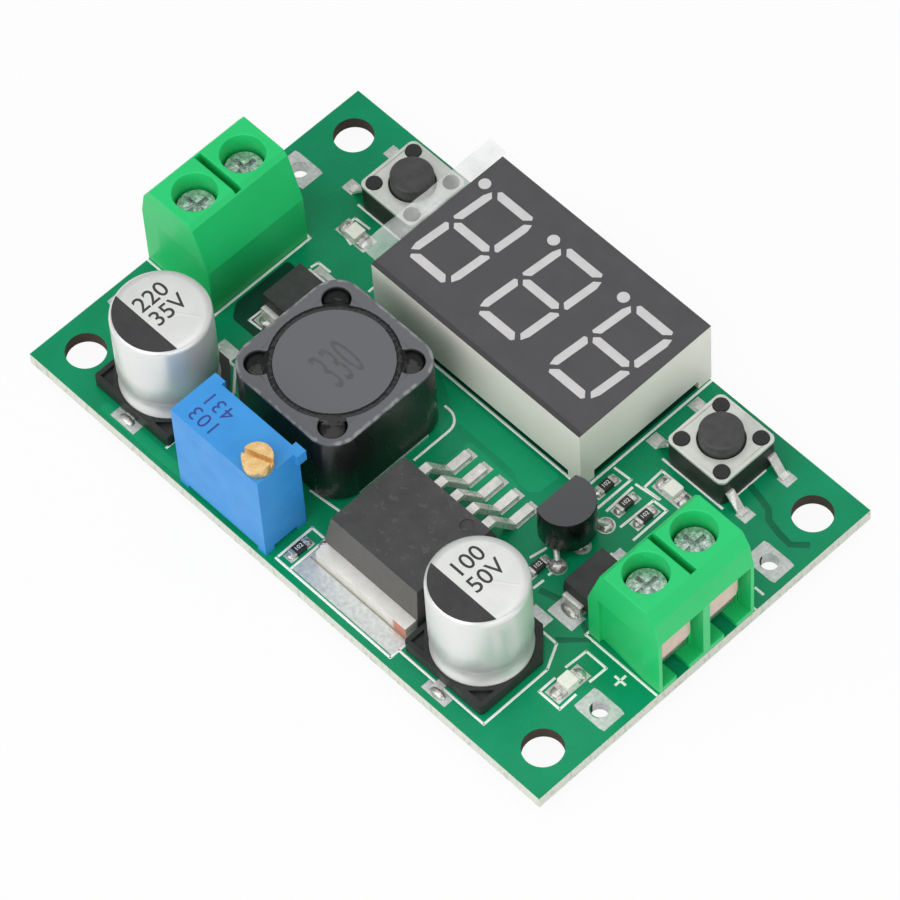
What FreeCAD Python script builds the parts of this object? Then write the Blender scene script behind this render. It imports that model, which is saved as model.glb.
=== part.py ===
"""Buck converter module: a small green board with a terminal block at each end,
a three-digit voltmeter, two push switches, a trimmer, a shielded coil,
two can capacitors and a tabbed regulator.

Frame: X runs from the output end to the input end, Y from the capacitor side to
the meter side, Z up. The origin is the middle of the bounding box's bottom face,
where the trimmed pin ends stand. Lengths are millimetres.
"""
import FreeCAD, Part
import math
import os
import re
import Sketcher

V = FreeCAD.Vector

# Driving dimensions
SIZES = {
    # circuit board
    "board_length": 56.0,
    "board_width": 35.0,
    "board_thickness": 1.2,
    "tip_drop": 1.2,
    "mount_hole_radius": 1.65,
    "mount_spacing_x": 50.2,
    "mount_spacing_y": 28.5,
    "wire_hole_radius": 0.75,
    "wire_hole_x": 25.75,
    "wire_hole_y": 8.95,
    # soldered pins
    "solder_spread": 0.32,
    "solder_height": 0.95,
    "solder_slope": 24.0,
    "pin_hole_gap": 0.12,
    # terminal block housing
    "terminal_width": 10.0,
    "terminal_height": 10.1,
    "terminal_front": 3.7,
    "terminal_rear": 3.75,
    "terminal_brow_height": 8.9,
    "terminal_brow_in": 0.45,
    "terminal_top_front": 2.5,
    "terminal_top_rear": 1.95,
    "terminal_rear_bevel": 0.4,
    "terminal_shoulder_height": 5.3,
    "pole_pitch": 5.0,
    "well_radius": 1.78,
    "mouth_width": 4.25,
    "mouth_top": 6.6,
    "mouth_depth": 1.3,
    "chamber_width": 3.9,
    "chamber_top": 5.6,
    "chamber_rear": 2.35,
    "housing_floor": 0.5,
    "floor_slot_width": 1.26,
    "web_slot_width": 0.6,
    "web_slot_depth": 2.0,
    "web_slot_front": 2.4,
    "web_slot_rear": 2.2,
    "dovetail_depth": 0.4,
    "dovetail_rear": 2.6,
    "dovetail_front": 2.0,
    "dovetail_height": 6.0,
    # clamp frame, pressure leaf and clamping screw
    "clamp_side_gap": 0.05,
    "clamp_seat_gap": 0.1,
    "clamp_wall": 0.5,
    "clamp_top_wall": 1.1,
    "clamp_front": 2.2,
    "clamp_rear": 2.1,
    "clamp_pin_long": 1.0,
    "clamp_pin_wide": 0.8,
    "leaf_thickness": 0.3,
    "leaf_height": 2.75,
    "leaf_width": 2.4,
    "leaf_rear": 1.6,
    "leaf_lip_front": 2.85,
    "leaf_lip_width": 3.2,
    "leaf_lip_top": 5.4,
    "leaf_lip_round": 0.5,
    "screw_head_radius": 1.55,
    "screw_head_height": 1.1,
    "screw_head_bottom": 7.1,
    "screw_shank_radius": 1.25,
    "screw_thread_gap": 0.05,
    "screw_tip_gap": 0.05,
    "screw_point": 0.35,
    "screw_cross_width": 0.42,
    "screw_cross_length": 2.2,
    "screw_cross_depth": 0.5,
    # voltmeter display
    "display_x": -0.2,
    "display_y": 10.65,
    "display_length": 22.5,
    "display_width": 14.0,
    "display_top": 7.1,
    "display_standoff": 1.0,
    "display_foot": 1.4,
    "display_wall": 0.7,
    "display_recess": 1.0,
    "digit_pitch": 7.53,
    "digit_rise": 0.05,
    "digit_slant": 4.5,
    "column_offset": 2.06,
    "bar_row_offset": 4.18,
    "bar_width": 0.75,
    "bar_depth": 0.6,
    "dot_offset": 3.18,
    "dot_radius": 0.5,
    "pin_pitch": 2.54,
    "display_row_spacing": 10.16,
    "display_pin_size": 0.5,
    "film_length": 24.3,
    "film_width": 13.7,
    "film_thickness": 0.1,
    "film_x": -0.97,
    "film_y": 11.08,
    "film_turn": 0.9,
    # push switches
    "right_switch_x": 16.83,
    "right_switch_y": 12.87,
    "left_switch_x": -16.85,
    "left_switch_y": 12.95,
    "switch_size": 6.0,
    "switch_corner": 0.6,
    "switch_base_height": 2.7,
    "switch_cover_thickness": 0.3,
    "switch_peg_offset": 2.12,
    "switch_peg_radius": 0.62,
    "switch_peg_proud": 0.15,
    "switch_peg_gap": 0.04,
    "switch_cavity_radius": 2.33,
    "switch_cavity_floor": 0.9,
    "button_radius": 1.75,
    "button_top": 4.2,
    "button_gap": 0.15,
    "button_flange_radius": 2.15,
    "button_flange_thickness": 0.65,
    "button_flange_gap": 0.1,
    "button_nub_radius": 0.7,
    "dome_radius": 1.9,
    "dome_rise": 0.6,
    "dome_thickness": 0.1,
    "dome_gap": 0.02,
    "switch_leg_spread": 2.25,
    "switch_leg_width": 0.75,
    "switch_leg_thickness": 0.2,
    "switch_leg_height": 1.5,
    "switch_leg_reach": 1.7,
    "switch_leg_shoulder": 0.2,
    "switch_foot_length": 0.45,
    # trimmer
    "trimmer_x": -6.35,
    "trimmer_y": -15.1,
    "trimmer_length": 9.5,
    "trimmer_width": 4.2,
    "trimmer_top": 10.0,
    "trimmer_standoff": 0.5,
    "trimmer_foot": 0.9,
    "trimmer_lug_length": 1.1,
    "trimmer_lug_height": 1.2,
    "trimmer_lug_reach": 0.4,
    "trimmer_lug_inset": 0.5,
    "trimmer_lug_overhang": 0.4,
    "trimmer_screw_x": 3.55,
    "trimmer_screw_y": -0.85,
    "trimmer_screw_turn": 20.0,
    "trimmer_head_radius": 1.22,
    "trimmer_head_proud": 1.3,
    "trimmer_head_gap": 0.05,
    "trimmer_shaft_radius": 0.8,
    "trimmer_shaft_gap": 0.05,
    "trimmer_shaft_length": 3.0,
    "trimmer_slot_width": 0.45,
    "trimmer_slot_depth": 0.6,
    "round_pin_radius": 0.25,
    # coil
    "coil_x": -6.55,
    "coil_y": -4.8,
    "coil_size": 12.0,
    "coil_corner": 2.4,
    "coil_top": 7.9,
    "coil_bore_radius": 5.1,
    "coil_flange_radius": 4.7,
    "coil_flange_thickness": 1.4,
    "coil_foot_radius": 4.95,
    "coil_post_radius": 2.2,
    "coil_winding_gap": 0.05,
    "coil_winding_radius": 4.5,
    "coil_lobe_offset": 4.05,
    "coil_lobe_radius": 1.15,
    "coil_lobe_depth": 2.0,
    "coil_glue_drop": 0.15,
    "coil_pad_thickness": 0.25,
    "coil_pad_width": 3.0,
    # can capacitors
    "output_cap_x": -18.15,
    "output_cap_y": -11.73,
    "input_cap_x": 15.87,
    "input_cap_y": -11.47,
    "can_radius": 3.97,
    "can_top": 10.0,
    "can_bottom": 0.8,
    "can_top_round": 0.35,
    "can_bead_height": 2.2,
    "can_bead_width": 0.9,
    "can_bead_depth": 0.35,
    "can_gap": 0.03,
    "cap_base_size": 8.3,
    "cap_base_height": 1.3,
    "cap_base_bevel": 1.9,
    "cap_lead_thickness": 0.15,
    "cap_base_round": 0.35,
    "cap_base_rim": 0.4,
    "cap_nook_leg": 1.4,
    "cap_nook_depth": 0.35,
    "cap_lead_width": 0.8,
    "cap_lead_inner": 1.2,
    "cap_lead_outer": 5.0,
    # regulator
    "regulator_x": 6.28,
    "regulator_width": 10.05,
    "regulator_height": 4.4,
    "regulator_front": -13.7,
    "regulator_front_step": 1.4,
    "regulator_top_front": -13.2,
    "regulator_top_rear": -5.55,
    "regulator_rear": -5.2,
    "regulator_rear_step": 3.45,
    "regulator_seat": 0.1,
    "tab_width": 9.75,
    "tab_front": -14.85,
    "tab_rear": -7.0,
    "tab_thickness": 1.3,
    "regulator_end_slope": 0.4,
    "regulator_dimple_x": 3.1,
    "regulator_dimple_y": -6.5,
    "regulator_dimple_radius": 0.6,
    "regulator_dimple_depth": 0.15,
    "lead_pitch": 1.7,
    "lead_width": 0.8,
    "lead_thickness": 0.5,
    "lead_exit_height": 3.2,
    "lead_shoulder": -4.25,
    "lead_heel": -2.3,
    "lead_toe": -0.27,
    # diodes
    "output_diode_gap": 2.5,
    "output_diode_y": 0.0,
    "input_diode_gap": 1.05,
    "input_diode_y": -1.9,
    "diode_length": 4.3,
    "diode_width": 2.6,
    "diode_height": 2.2,
    "diode_seat": 0.2,
    "diode_taper": 0.15,
    "diode_lead_width": 1.9,
    "diode_lead_thickness": 0.2,
    "diode_lead_reach": 0.45,
    "diode_lead_height": 1.25,
    "diode_lead_inner": 1.4,
    # three-pin reference
    "reference_gap": 1.37,
    "reference_y": 0.05,
    "reference_radius": 2.33,
    "reference_flat": 1.06,
    "reference_bottom": 1.2,
    "reference_top": 4.8,
    "reference_lead_pitch": 1.27,
    "reference_row_offset": 1.55,
    "reference_lead_bend": 0.9,
    # chip resistors and indicator lamps
    "chip_length": 1.6,
    "chip_width": 0.8,
    "chip_height": 0.45,
    "chip_end": 0.3,
    "chip_1_x": 12.31,
    "chip_1_y": 5.03,
    "chip_2_x": 14.52,
    "chip_2_y": 4.95,
    "chip_3_x": 16.36,
    "chip_3_y": 5.14,
    "chip_4_offset": 4.44,
    "chip_4_y": -3.61,
    "chip_5_x": -0.2,
    "chip_5_y": -15.1,
    "lamp_length": 2.0,
    "lamp_width": 1.25,
    "lamp_height": 0.8,
    "lamp_end": 0.4,
    "right_lamp_x": 16.3,
    "right_lamp_y": 8.2,
    "left_lamp_x": -18.0,
    "left_lamp_y": 7.7,
    "input_lamp_x": 22.56,
    "input_lamp_y": -9.14,
    # meter controller
    "controller_x": -3.0,
    "controller_y": 10.65,
    "controller_length": 5.0,
    "controller_width": 4.4,
    "controller_height": 0.85,
    "controller_seat": 0.08,
    "controller_pitch": 0.65,
    "controller_lead_width": 0.25,
    "controller_lead_reach": 0.9,
    "controller_lead_height": 0.45,
    "controller_lead_thickness": 0.15,
}

BOARD_TOP = "tip_drop + board_thickness"
TERMINAL_X = "(board_length / 2 - terminal_front)"
SWITCHES = {
    "right": ("right_switch_x", "right_switch_y"),
    "left": ("left_switch_x", "left_switch_y"),
}
INNER_WALL = f"({TERMINAL_X} - terminal_rear)"
INPUT_DIODE_X = f"({INNER_WALL} - input_diode_gap - diode_width / 2)"
OUTPUT_DIODE_X = f"-({INNER_WALL} - output_diode_gap - diode_width / 2)"
REFERENCE_X = f"({INPUT_DIODE_X} - diode_width / 2 - reference_gap - reference_radius)"
CHIPS = [
    ("chip_1_x", "chip_1_y"),
    ("chip_2_x", "chip_2_y"),
    ("chip_3_x", "chip_3_y"),
    (f"({INPUT_DIODE_X} - chip_4_offset)", "chip_4_y"),
    ("chip_5_x", "chip_5_y"),
]
LAMPS_ALONG_X = [("right_lamp_x", "right_lamp_y"), ("left_lamp_x", "left_lamp_y")]
LAMPS_ALONG_Y = [("input_lamp_x", "input_lamp_y")]
BOTH_SIDES = ("", "-")
CONTROLLER_LEAD_COUNT = 8
REGULATOR_LEAD_COUNT = 5
DISPLAY_PIN_COUNT = 6
DIGIT_COUNT = 3

doc = FreeCAD.newDocument("BuckConverterModule")
sheet = doc.addObject("Spreadsheet::Sheet", "Sizes")
for row, (size_name, size) in enumerate(SIZES.items(), start=1):
    sheet.set(f"A{row}", size_name)
    sheet.set(f"B{row}", str(size))
    sheet.setAlias(f"B{row}", size_name)
doc.recompute()
pieces = []


# Helpers

def bind(formula):
    """A formula in size names, as an expression on the sheet."""
    def cell(word):
        return f"Sizes.{word.group()}" if word.group() in SIZES else word.group()
    return re.sub(r"[a-z][a-z0-9_]*", cell, str(formula))


def read(size_name):
    """The sheet's number for one size."""
    return float(sheet.get(size_name))


def set_place(item, x, y, z, turn="0"):
    """Place an item by formulas, turned about the vertical."""
    item.setExpression("Placement.Base.x", bind(x))
    item.setExpression("Placement.Base.y", bind(y))
    item.setExpression("Placement.Base.z", bind(z))
    item.setExpression("Placement.Rotation.Angle", bind(turn))


def new_piece(name, x="0", y="0", z=BOARD_TOP, turn="0"):
    """An empty body for one node, placed in the module's frame."""
    body = doc.addObject("PartDesign::Body", name)
    body.Label = name
    body.AllowCompound = True
    set_place(body, x, y, z, turn)
    pieces.append(body)
    return body


def origin_feature(body, role):
    """The body's own origin plane or axis of that role."""
    return next(item for item in body.Origin.OriginFeatures if item.Role == role)


def new_sketch(body, plane, level="0"):
    """A sketch on an origin plane, moved along its normal to a level."""
    sketch = body.newObject("Sketcher::SketchObject", f"{body.Name}_sketch")
    sketch.AttachmentSupport = [(origin_feature(body, plane), "")]
    sketch.MapMode = "FlatFace"
    sketch.setExpression("AttachmentOffset.Base.z", bind(level))
    return sketch


def tie_point(sketch, index, vertex, x, y, start):
    """Hold one point of the sketch at (x, y) from its origin."""
    for kind, formula, now in (("DistanceX", x, start.x), ("DistanceY", y, start.y)):
        number = sketch.addConstraint(Sketcher.Constraint(kind, -1, 1, index, vertex, now))
        sketch.setExpression(f"Constraints[{number}]", bind(formula))


def polygon(sketch, corners):
    """A closed outline through corners given as pairs of formulas."""
    first = sketch.GeometryCount
    count = len(corners)
    turns = [2 * math.pi * step / count for step in range(count)]
    start = [V(10 * math.cos(turn), 10 * math.sin(turn), 0) for turn in turns]
    for step in range(count):
        sketch.addGeometry(Part.LineSegment(start[step], start[(step + 1) % count]), False)
    for step in range(count):
        after = first + (step + 1) % count
        sketch.addConstraint(Sketcher.Constraint("Coincident", first + step, 2, after, 1))
    for step, (x, y) in enumerate(corners):
        tie_point(sketch, first + step, 1, x, y, start[step])


def rectangle(sketch, x, y, width, height):
    """A rectangle about the middle (x, y)."""
    left, right = f"({x}) - ({width}) / 2", f"({x}) + ({width}) / 2"
    low, high = f"({y}) - ({height}) / 2", f"({y}) + ({height}) / 2"
    polygon(sketch, [(left, low), (right, low), (right, high), (left, high)])


def circle(sketch, x, y, radius):
    """A circle about (x, y)."""
    start = V(1, 1, 0)
    index = sketch.addGeometry(Part.Circle(start, V(0, 0, 1), 1.0), False)
    tie_point(sketch, index, 3, x, y, start)
    number = sketch.addConstraint(Sketcher.Constraint("Radius", index, 1.0))
    sketch.setExpression(f"Constraints[{number}]", bind(radius))


def pad(body, sketch, length, backwards=False, middle=False):
    """Raise the sketch by a length along its normal."""
    feature = body.newObject("PartDesign::Pad", f"{sketch.Name}_pad")
    feature.Profile = sketch
    feature.Reversed = backwards
    feature.Midplane = middle
    feature.setExpression("Length", bind(length))
    return feature


def pocket(body, sketch, length, backwards=False, middle=False):
    """Cut the sketch by a length against its normal."""
    feature = body.newObject("PartDesign::Pocket", f"{sketch.Name}_pocket")
    feature.Profile = sketch
    feature.Reversed = backwards
    feature.Midplane = middle
    feature.setExpression("Length", bind(length))
    return feature


def turned(body, profile):
    """A body of revolution about Z from (radius, height) corners."""
    sketch = new_sketch(body, "XZ_Plane")
    polygon(sketch, profile)
    feature = body.newObject("PartDesign::Revolution", f"{sketch.Name}_turned")
    feature.Profile = sketch
    feature.ReferenceAxis = (sketch, ["V_Axis"])
    feature.Angle = 360.0
    return feature


def round_edges(body, base, radius, chosen):
    """Fillet the edges of the last feature that a test chooses."""
    doc.recompute()
    edges = enumerate(base.Shape.Edges, start=1)
    names = [f"Edge{number}" for number, edge in edges if chosen(edge)]
    feature = body.newObject("PartDesign::Fillet", f"{base.Name}_round")
    feature.Base = (base, names)
    feature.setExpression("Radius", bind(radius))
    return feature


def is_upright(edge):
    """True for a straight vertical edge."""
    ends = [vertex.Point for vertex in edge.Vertexes]
    return len(ends) == 2 and math.hypot(ends[0].x - ends[1].x, ends[0].y - ends[1].y) < 1e-6


def lead_holes(sketch, places, radius):
    """Circles of one radius at each place."""
    for x, y in places:
        circle(sketch, x, y, radius)


# Places of the pins that go through the board

def signed(sign, formula):
    """A formula with its sign turned where asked."""
    return f"{sign}({formula})"


def four_places(x, y):
    """The four places at (+x, +y), (+x, -y), (-x, +y) and (-x, -y)."""
    return [(signed(end, x), signed(side, y)) for end in BOTH_SIDES for side in BOTH_SIDES]


def terminal_pin_places():
    """Both poles of both terminal blocks."""
    return four_places(TERMINAL_X, "pole_pitch / 2")


def display_pin_places():
    """Two rows of display pins."""
    places = []
    for side in BOTH_SIDES:
        for step in range(DISPLAY_PIN_COUNT):
            x = f"display_x + {step - (DISPLAY_PIN_COUNT - 1) / 2} * pin_pitch"
            places.append((x, f"display_y + {signed(side, 'display_row_spacing / 2')}"))
    return places


def trimmer_pin_places():
    """Three trimmer pins in a row."""
    return [(f"trimmer_x + {step} * pin_pitch", "trimmer_y") for step in (-1, 0, 1)]


def reference_pin_places():
    """Three reference pins in a row, bent out from the package."""
    row_x = f"{REFERENCE_X} + reference_row_offset"
    return [(row_x, f"reference_y + {step} * pin_pitch") for step in (-1, 0, 1)]


ROUND_PINS = trimmer_pin_places() + reference_pin_places()
TERMINAL_HOLE = "clamp_pin_long / 2 + pin_hole_gap * 2"
SQUARE_HOLE = "display_pin_size * 0.71 + pin_hole_gap"
ROUND_HOLE = "round_pin_radius + pin_hole_gap"


# Circuit board and its solder

def make_circuit_board():
    """The slab, with its mounting, wire and pin holes."""
    body = new_piece("circuit_board", z="tip_drop")
    outline = new_sketch(body, "XY_Plane")
    rectangle(outline, "0", "0", "board_length", "board_width")
    pad(body, outline, "board_thickness")
    holes = new_sketch(body, "XY_Plane", "board_thickness")
    lead_holes(holes, four_places("mount_spacing_x / 2", "mount_spacing_y / 2"), "mount_hole_radius")
    lead_holes(holes, four_places("wire_hole_x", "wire_hole_y"), "wire_hole_radius")
    lead_holes(holes, terminal_pin_places(), TERMINAL_HOLE)
    lead_holes(holes, display_pin_places(), SQUARE_HOLE)
    lead_holes(holes, ROUND_PINS, ROUND_HOLE)
    pocket(body, holes, "board_thickness")


def solder_joint(number, x, y, hole, pin):
    """One solder cone hanging under the board, with its pin's space left open."""
    cone = doc.addObject("Part::Cone", f"solder_cone_{number}")
    wide = f"({hole} + solder_spread)"
    cone.setExpression("Radius1", bind(f"{wide} - solder_height * tan(solder_slope * 1 deg)"))
    cone.setExpression("Radius2", bind(wide))
    cone.setExpression("Height", bind("solder_height"))
    set_place(cone, x, y, "tip_drop - solder_height")
    if len(pin) == 1:
        core = doc.addObject("Part::Cylinder", f"solder_core_{number}")
        core.setExpression("Radius", bind(pin[0]))
        set_place(core, x, y, "tip_drop - solder_height")
    else:
        core = doc.addObject("Part::Box", f"solder_core_{number}")
        core.setExpression("Length", bind(pin[0]))
        core.setExpression("Width", bind(pin[1]))
        set_place(core, f"{x} - {pin[0]} / 2", f"{y} - {pin[1]} / 2", "tip_drop - solder_height")
    core.setExpression("Height", bind("solder_height"))
    joint = doc.addObject("Part::Cut", f"solder_joint_{number}")
    joint.Base, joint.Tool = cone, core
    return joint


def make_solder_joints():
    """A tapered solder joint round each pin, under the board."""
    kinds = [
        (terminal_pin_places(), TERMINAL_HOLE, ("clamp_pin_long", "clamp_pin_wide")),
        (display_pin_places(), SQUARE_HOLE, ("display_pin_size", "display_pin_size")),
        (ROUND_PINS, ROUND_HOLE, ("round_pin_radius",)),
    ]
    joints = []
    for places, hole, pin in kinds:
        for x, y in places:
            joints.append(solder_joint(len(joints), x, y, hole, pin))
    group = doc.addObject("Part::Compound", "solder_joints")
    group.Links = joints
    group.Label = "solder_joints"
    pieces.append(group)


# Terminal blocks: moulded housing, and in each pole a clamp frame, a leaf and a screw

def make_terminal_housing(name, x, turn):
    """The moulded two-pole housing; its wire side faces local +X."""
    body = new_piece(name, x=x, turn=turn)
    profile = new_sketch(body, "XZ_Plane")
    polygon(profile, [
        ("-terminal_rear", "0"),
        ("terminal_front", "0"),
        ("terminal_front", "mouth_top"),
        ("terminal_front - terminal_brow_in", "terminal_brow_height"),
        ("terminal_top_front", "terminal_height"),
        ("-terminal_top_rear", "terminal_height"),
        ("-terminal_top_rear - terminal_rear_bevel", "terminal_height - terminal_rear_bevel"),
        ("-terminal_rear", "terminal_shoulder_height"),
    ])
    pad(body, profile, "terminal_width", middle=True)
    wells = new_sketch(body, "XY_Plane", "terminal_height")
    mouths = new_sketch(body, "YZ_Plane", "terminal_front")
    chambers = new_sketch(body, "YZ_Plane", "terminal_front")
    slots = new_sketch(body, "XY_Plane", "housing_floor")
    chamber_middle = "(chamber_top + housing_floor) / 2"
    for side in BOTH_SIDES:
        pole = signed(side, "pole_pitch / 2")
        circle(wells, "0", pole, "well_radius")
        rectangle(mouths, pole, "(mouth_top + housing_floor) / 2", "mouth_width", "mouth_top - housing_floor")
        rectangle(chambers, pole, chamber_middle, "chamber_width", "chamber_top - housing_floor")
        slot_length = "(terminal_front + floor_slot_width / 2)"
        rectangle(slots, f"terminal_front - {slot_length} / 2", pole, slot_length, "floor_slot_width")
    pocket(body, wells, "terminal_height - chamber_top")
    pocket(body, mouths, "mouth_depth")
    pocket(body, chambers, "terminal_front + chamber_rear")
    pocket(body, slots, "housing_floor")
    web = new_sketch(body, "XY_Plane", "terminal_height")
    middle = "(web_slot_front - web_slot_rear) / 2"
    rectangle(web, middle, "0", "web_slot_front + web_slot_rear", "web_slot_width")
    pocket(body, web, "web_slot_depth")
    sides = new_sketch(body, "XY_Plane")
    for side in BOTH_SIDES:
        polygon(sides, [
            ("-dovetail_rear", signed(side, "terminal_width / 2")),
            ("dovetail_front", signed(side, "terminal_width / 2")),
            ("-dovetail_rear", signed(side, "terminal_width / 2 - dovetail_depth")),
        ])
    pocket(body, sides, "dovetail_height", backwards=True)


def make_clamp_frame(name, x, y, turn):
    """The folded clamp frame of one pole, with its threaded top and its pin."""
    body = new_piece(name, x=x, y=y, turn=turn)
    bottom = "(housing_floor + clamp_seat_gap)"
    top = "(chamber_top - clamp_seat_gap)"
    width = "(chamber_width - clamp_side_gap * 2)"
    tube = new_sketch(body, "YZ_Plane", "-clamp_rear")
    rectangle(tube, "0", f"({bottom} + {top}) / 2", width, f"{top} - {bottom}")
    low = f"({bottom} + clamp_wall)"
    high = f"({top} - clamp_top_wall)"
    rectangle(tube, "0", f"({low} + {high}) / 2", f"{width} - clamp_wall * 2", f"{high} - {low}")
    pad(body, tube, "clamp_front + clamp_rear")
    bore = new_sketch(body, "XY_Plane", top)
    circle(bore, "0", "0", "screw_shank_radius + screw_thread_gap")
    pocket(body, bore, "clamp_top_wall")
    pin = new_sketch(body, "XY_Plane", bottom)
    rectangle(pin, "0", "0", "clamp_pin_long", "clamp_pin_wide")
    pad(body, pin, f"{bottom} + {BOARD_TOP}", backwards=True)


def make_pressure_leaf(name, x, y, turn):
    """The bent leaf between screw and wire, with its lip in the wire mouth."""
    body = new_piece(name, x=x, y=y, turn=turn)
    lip = new_sketch(body, "YZ_Plane", "leaf_lip_front")
    rectangle(lip, "0", "(leaf_lip_top + leaf_height) / 2", "leaf_lip_width", "leaf_lip_top - leaf_height")
    upright = pad(body, lip, "leaf_thickness", backwards=True)

    def lower_corner(edge):
        ends = [vertex.Point for vertex in edge.Vertexes]
        flat = abs(ends[0].y - ends[1].y) < 1e-6 and abs(ends[0].z - ends[1].z) < 1e-6
        return flat and ends[0].z < read("leaf_height") + 1e-6

    round_edges(body, upright, "leaf_lip_round", lower_corner)
    plate = new_sketch(body, "XY_Plane", "leaf_height")
    length = "(leaf_rear + leaf_lip_front - leaf_thickness)"
    rectangle(plate, f"{length} / 2 - leaf_rear", "0", length, "leaf_width - leaf_lip_round")
    pad(body, plate, "leaf_thickness")


def make_clamping_screw(name, x, y, turn):
    """The clamping screw of one pole, with a cross recess in its head."""
    body = new_piece(name, x=x, y=y, turn=turn)
    tip = "leaf_height + leaf_thickness + screw_tip_gap"
    turned(body, [
        ("0", tip),
        ("screw_shank_radius - screw_point", tip),
        ("screw_shank_radius", f"{tip} + screw_point"),
        ("screw_shank_radius", "screw_head_bottom"),
        ("screw_head_radius", "screw_head_bottom"),
        ("screw_head_radius", "screw_head_bottom + screw_head_height"),
        ("0", "screw_head_bottom + screw_head_height"),
    ])
    for size in (("screw_cross_length", "screw_cross_width"), ("screw_cross_width", "screw_cross_length")):
        arm = new_sketch(body, "XY_Plane", "screw_head_bottom + screw_head_height")
        rectangle(arm, "0", "0", *size)
        pocket(body, arm, "screw_cross_depth")


def make_terminals():
    """The input block faces +X, the output block faces -X."""
    for end, sign, turn in (("input", "", 0), ("output", "-", 180)):
        x = signed(sign, TERMINAL_X)
        make_terminal_housing(f"{end}_terminal_housing", x, turn)
        for pole, side in (("rear", ""), ("front", "-")):
            y = signed(side, "pole_pitch / 2")
            make_clamp_frame(f"{end}_{pole}_clamp_frame", x, y, turn)
            make_pressure_leaf(f"{end}_{pole}_pressure_leaf", x, y, turn)
            make_clamping_screw(f"{end}_{pole}_clamping_screw", x, y, turn)


# Voltmeter display

def slanted(x, y):
    """A point of a digit, leaned over by the digit's slant."""
    return (f"{x} + ({y}) * tan(digit_slant * 1 deg)", y)


def digit_outlines(sketch):
    """The seven bars and the dot of the left-hand digit."""
    half = "bar_width / 2"
    for side in BOTH_SIDES:
        row = signed(side, "bar_row_offset")
        out, inn = signed(side, half), signed(side, f"-{half}")
        shape = [
            ("-column_offset + bar_width * 0.47", out),
            ("column_offset - bar_width * 0.47", out),
            ("column_offset - bar_width * 0.25", signed(side, "bar_width * 0.15")),
            ("column_offset - bar_width * 0.9", inn),
            ("-column_offset + bar_width * 0.9", inn),
            ("-column_offset + bar_width * 0.25", signed(side, "bar_width * 0.15")),
        ]
        polygon(sketch, [slanted(f"-digit_pitch + {x}", f"digit_rise + {row} + {y}") for x, y in shape])
        for end in BOTH_SIDES:
            shape = [
                (f"column_offset + {half}", "bar_width * 0.53"),
                ("column_offset + bar_width * 0.19", "bar_width * 0.38"),
                (f"column_offset - {half} * 0.85", "bar_width * 0.9"),
                (f"column_offset - {half} * 0.85", "bar_row_offset - bar_width * 0.78"),
                ("column_offset + bar_width * 0.2", "bar_row_offset - bar_width * 0.24"),
                (f"column_offset + {half}", "bar_row_offset - bar_width * 1.15"),
            ]
            corners = []
            for x, y in shape:
                corners.append(slanted(f"-digit_pitch + {signed(end, x)}", f"digit_rise + {signed(side, y)}"))
            polygon(sketch, corners)
    shape = [
        ("-column_offset + bar_width * 0.2", "0"),
        ("-column_offset + bar_width * 0.67", half),
        ("column_offset - bar_width * 0.67", half),
        ("column_offset - bar_width * 0.2", "0"),
        ("column_offset - bar_width * 0.67", f"-{half}"),
        ("-column_offset + bar_width * 0.67", f"-{half}"),
    ]
    polygon(sketch, [slanted(f"-digit_pitch + {x}", f"digit_rise + {y}") for x, y in shape])
    x, y = slanted("-digit_pitch - dot_offset", "digit_rise + bar_row_offset")
    circle(sketch, x, y, "dot_radius")


def repeat_digits(body, feature):
    """The left-hand digit's feature, repeated along the display."""
    doc.recompute()
    row = body.newObject("PartDesign::LinearPattern", f"{feature.Name}_row")
    row.Originals = [feature]
    row.Direction = (origin_feature(body, "X_Axis"), [""])
    row.setExpression("Length", bind(f"digit_pitch * {DIGIT_COUNT - 1}"))
    row.Occurrences = DIGIT_COUNT
    body.Tip = row


def make_display():
    """The display's shell, its cast light bars, its pins and its protective film."""
    shell = new_piece("display_housing", x="display_x", y="display_y")
    outline = new_sketch(shell, "XY_Plane", "display_standoff")
    rectangle(outline, "0", "0", "display_length", "display_width")
    pad(shell, outline, "display_top - display_standoff")
    recess = new_sketch(shell, "XY_Plane", "display_standoff")
    rectangle(recess, "0", "0", "display_length - display_wall * 2", "display_width - display_wall * 2")
    pocket(shell, recess, "display_recess", backwards=True)
    feet = new_sketch(shell, "XY_Plane")
    foot_x, foot_y = "display_length / 2 - display_foot / 2", "display_width / 2 - display_foot / 2"
    for x, y in four_places(foot_x, foot_y):
        rectangle(feet, x, y, "display_foot", "display_foot")
    pad(shell, feet, "display_standoff + display_recess")
    wells = new_sketch(shell, "XY_Plane", "display_top")
    digit_outlines(wells)
    repeat_digits(shell, pocket(shell, wells, "bar_depth"))

    bars = new_piece("display_light_bars", x="display_x", y="display_y")
    cast = new_sketch(bars, "XY_Plane", "display_top - bar_depth")
    digit_outlines(cast)
    repeat_digits(bars, pad(bars, cast, "bar_depth"))

    pins = new_piece("display_pins")
    feet = new_sketch(pins, "XY_Plane", "display_standoff + display_recess")
    for x, y in display_pin_places():
        rectangle(feet, x, y, "display_pin_size", "display_pin_size")
    pad(pins, feet, f"display_standoff + display_recess + {BOARD_TOP}", backwards=True)

    film = new_piece("display_film", x="film_x", y="film_y", z=f"{BOARD_TOP} + display_top", turn="film_turn")
    sheet_outline = new_sketch(film, "XY_Plane")
    rectangle(sheet_outline, "0", "0", "film_length", "film_width")
    pad(film, sheet_outline, "film_thickness")


# Push switches

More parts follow.
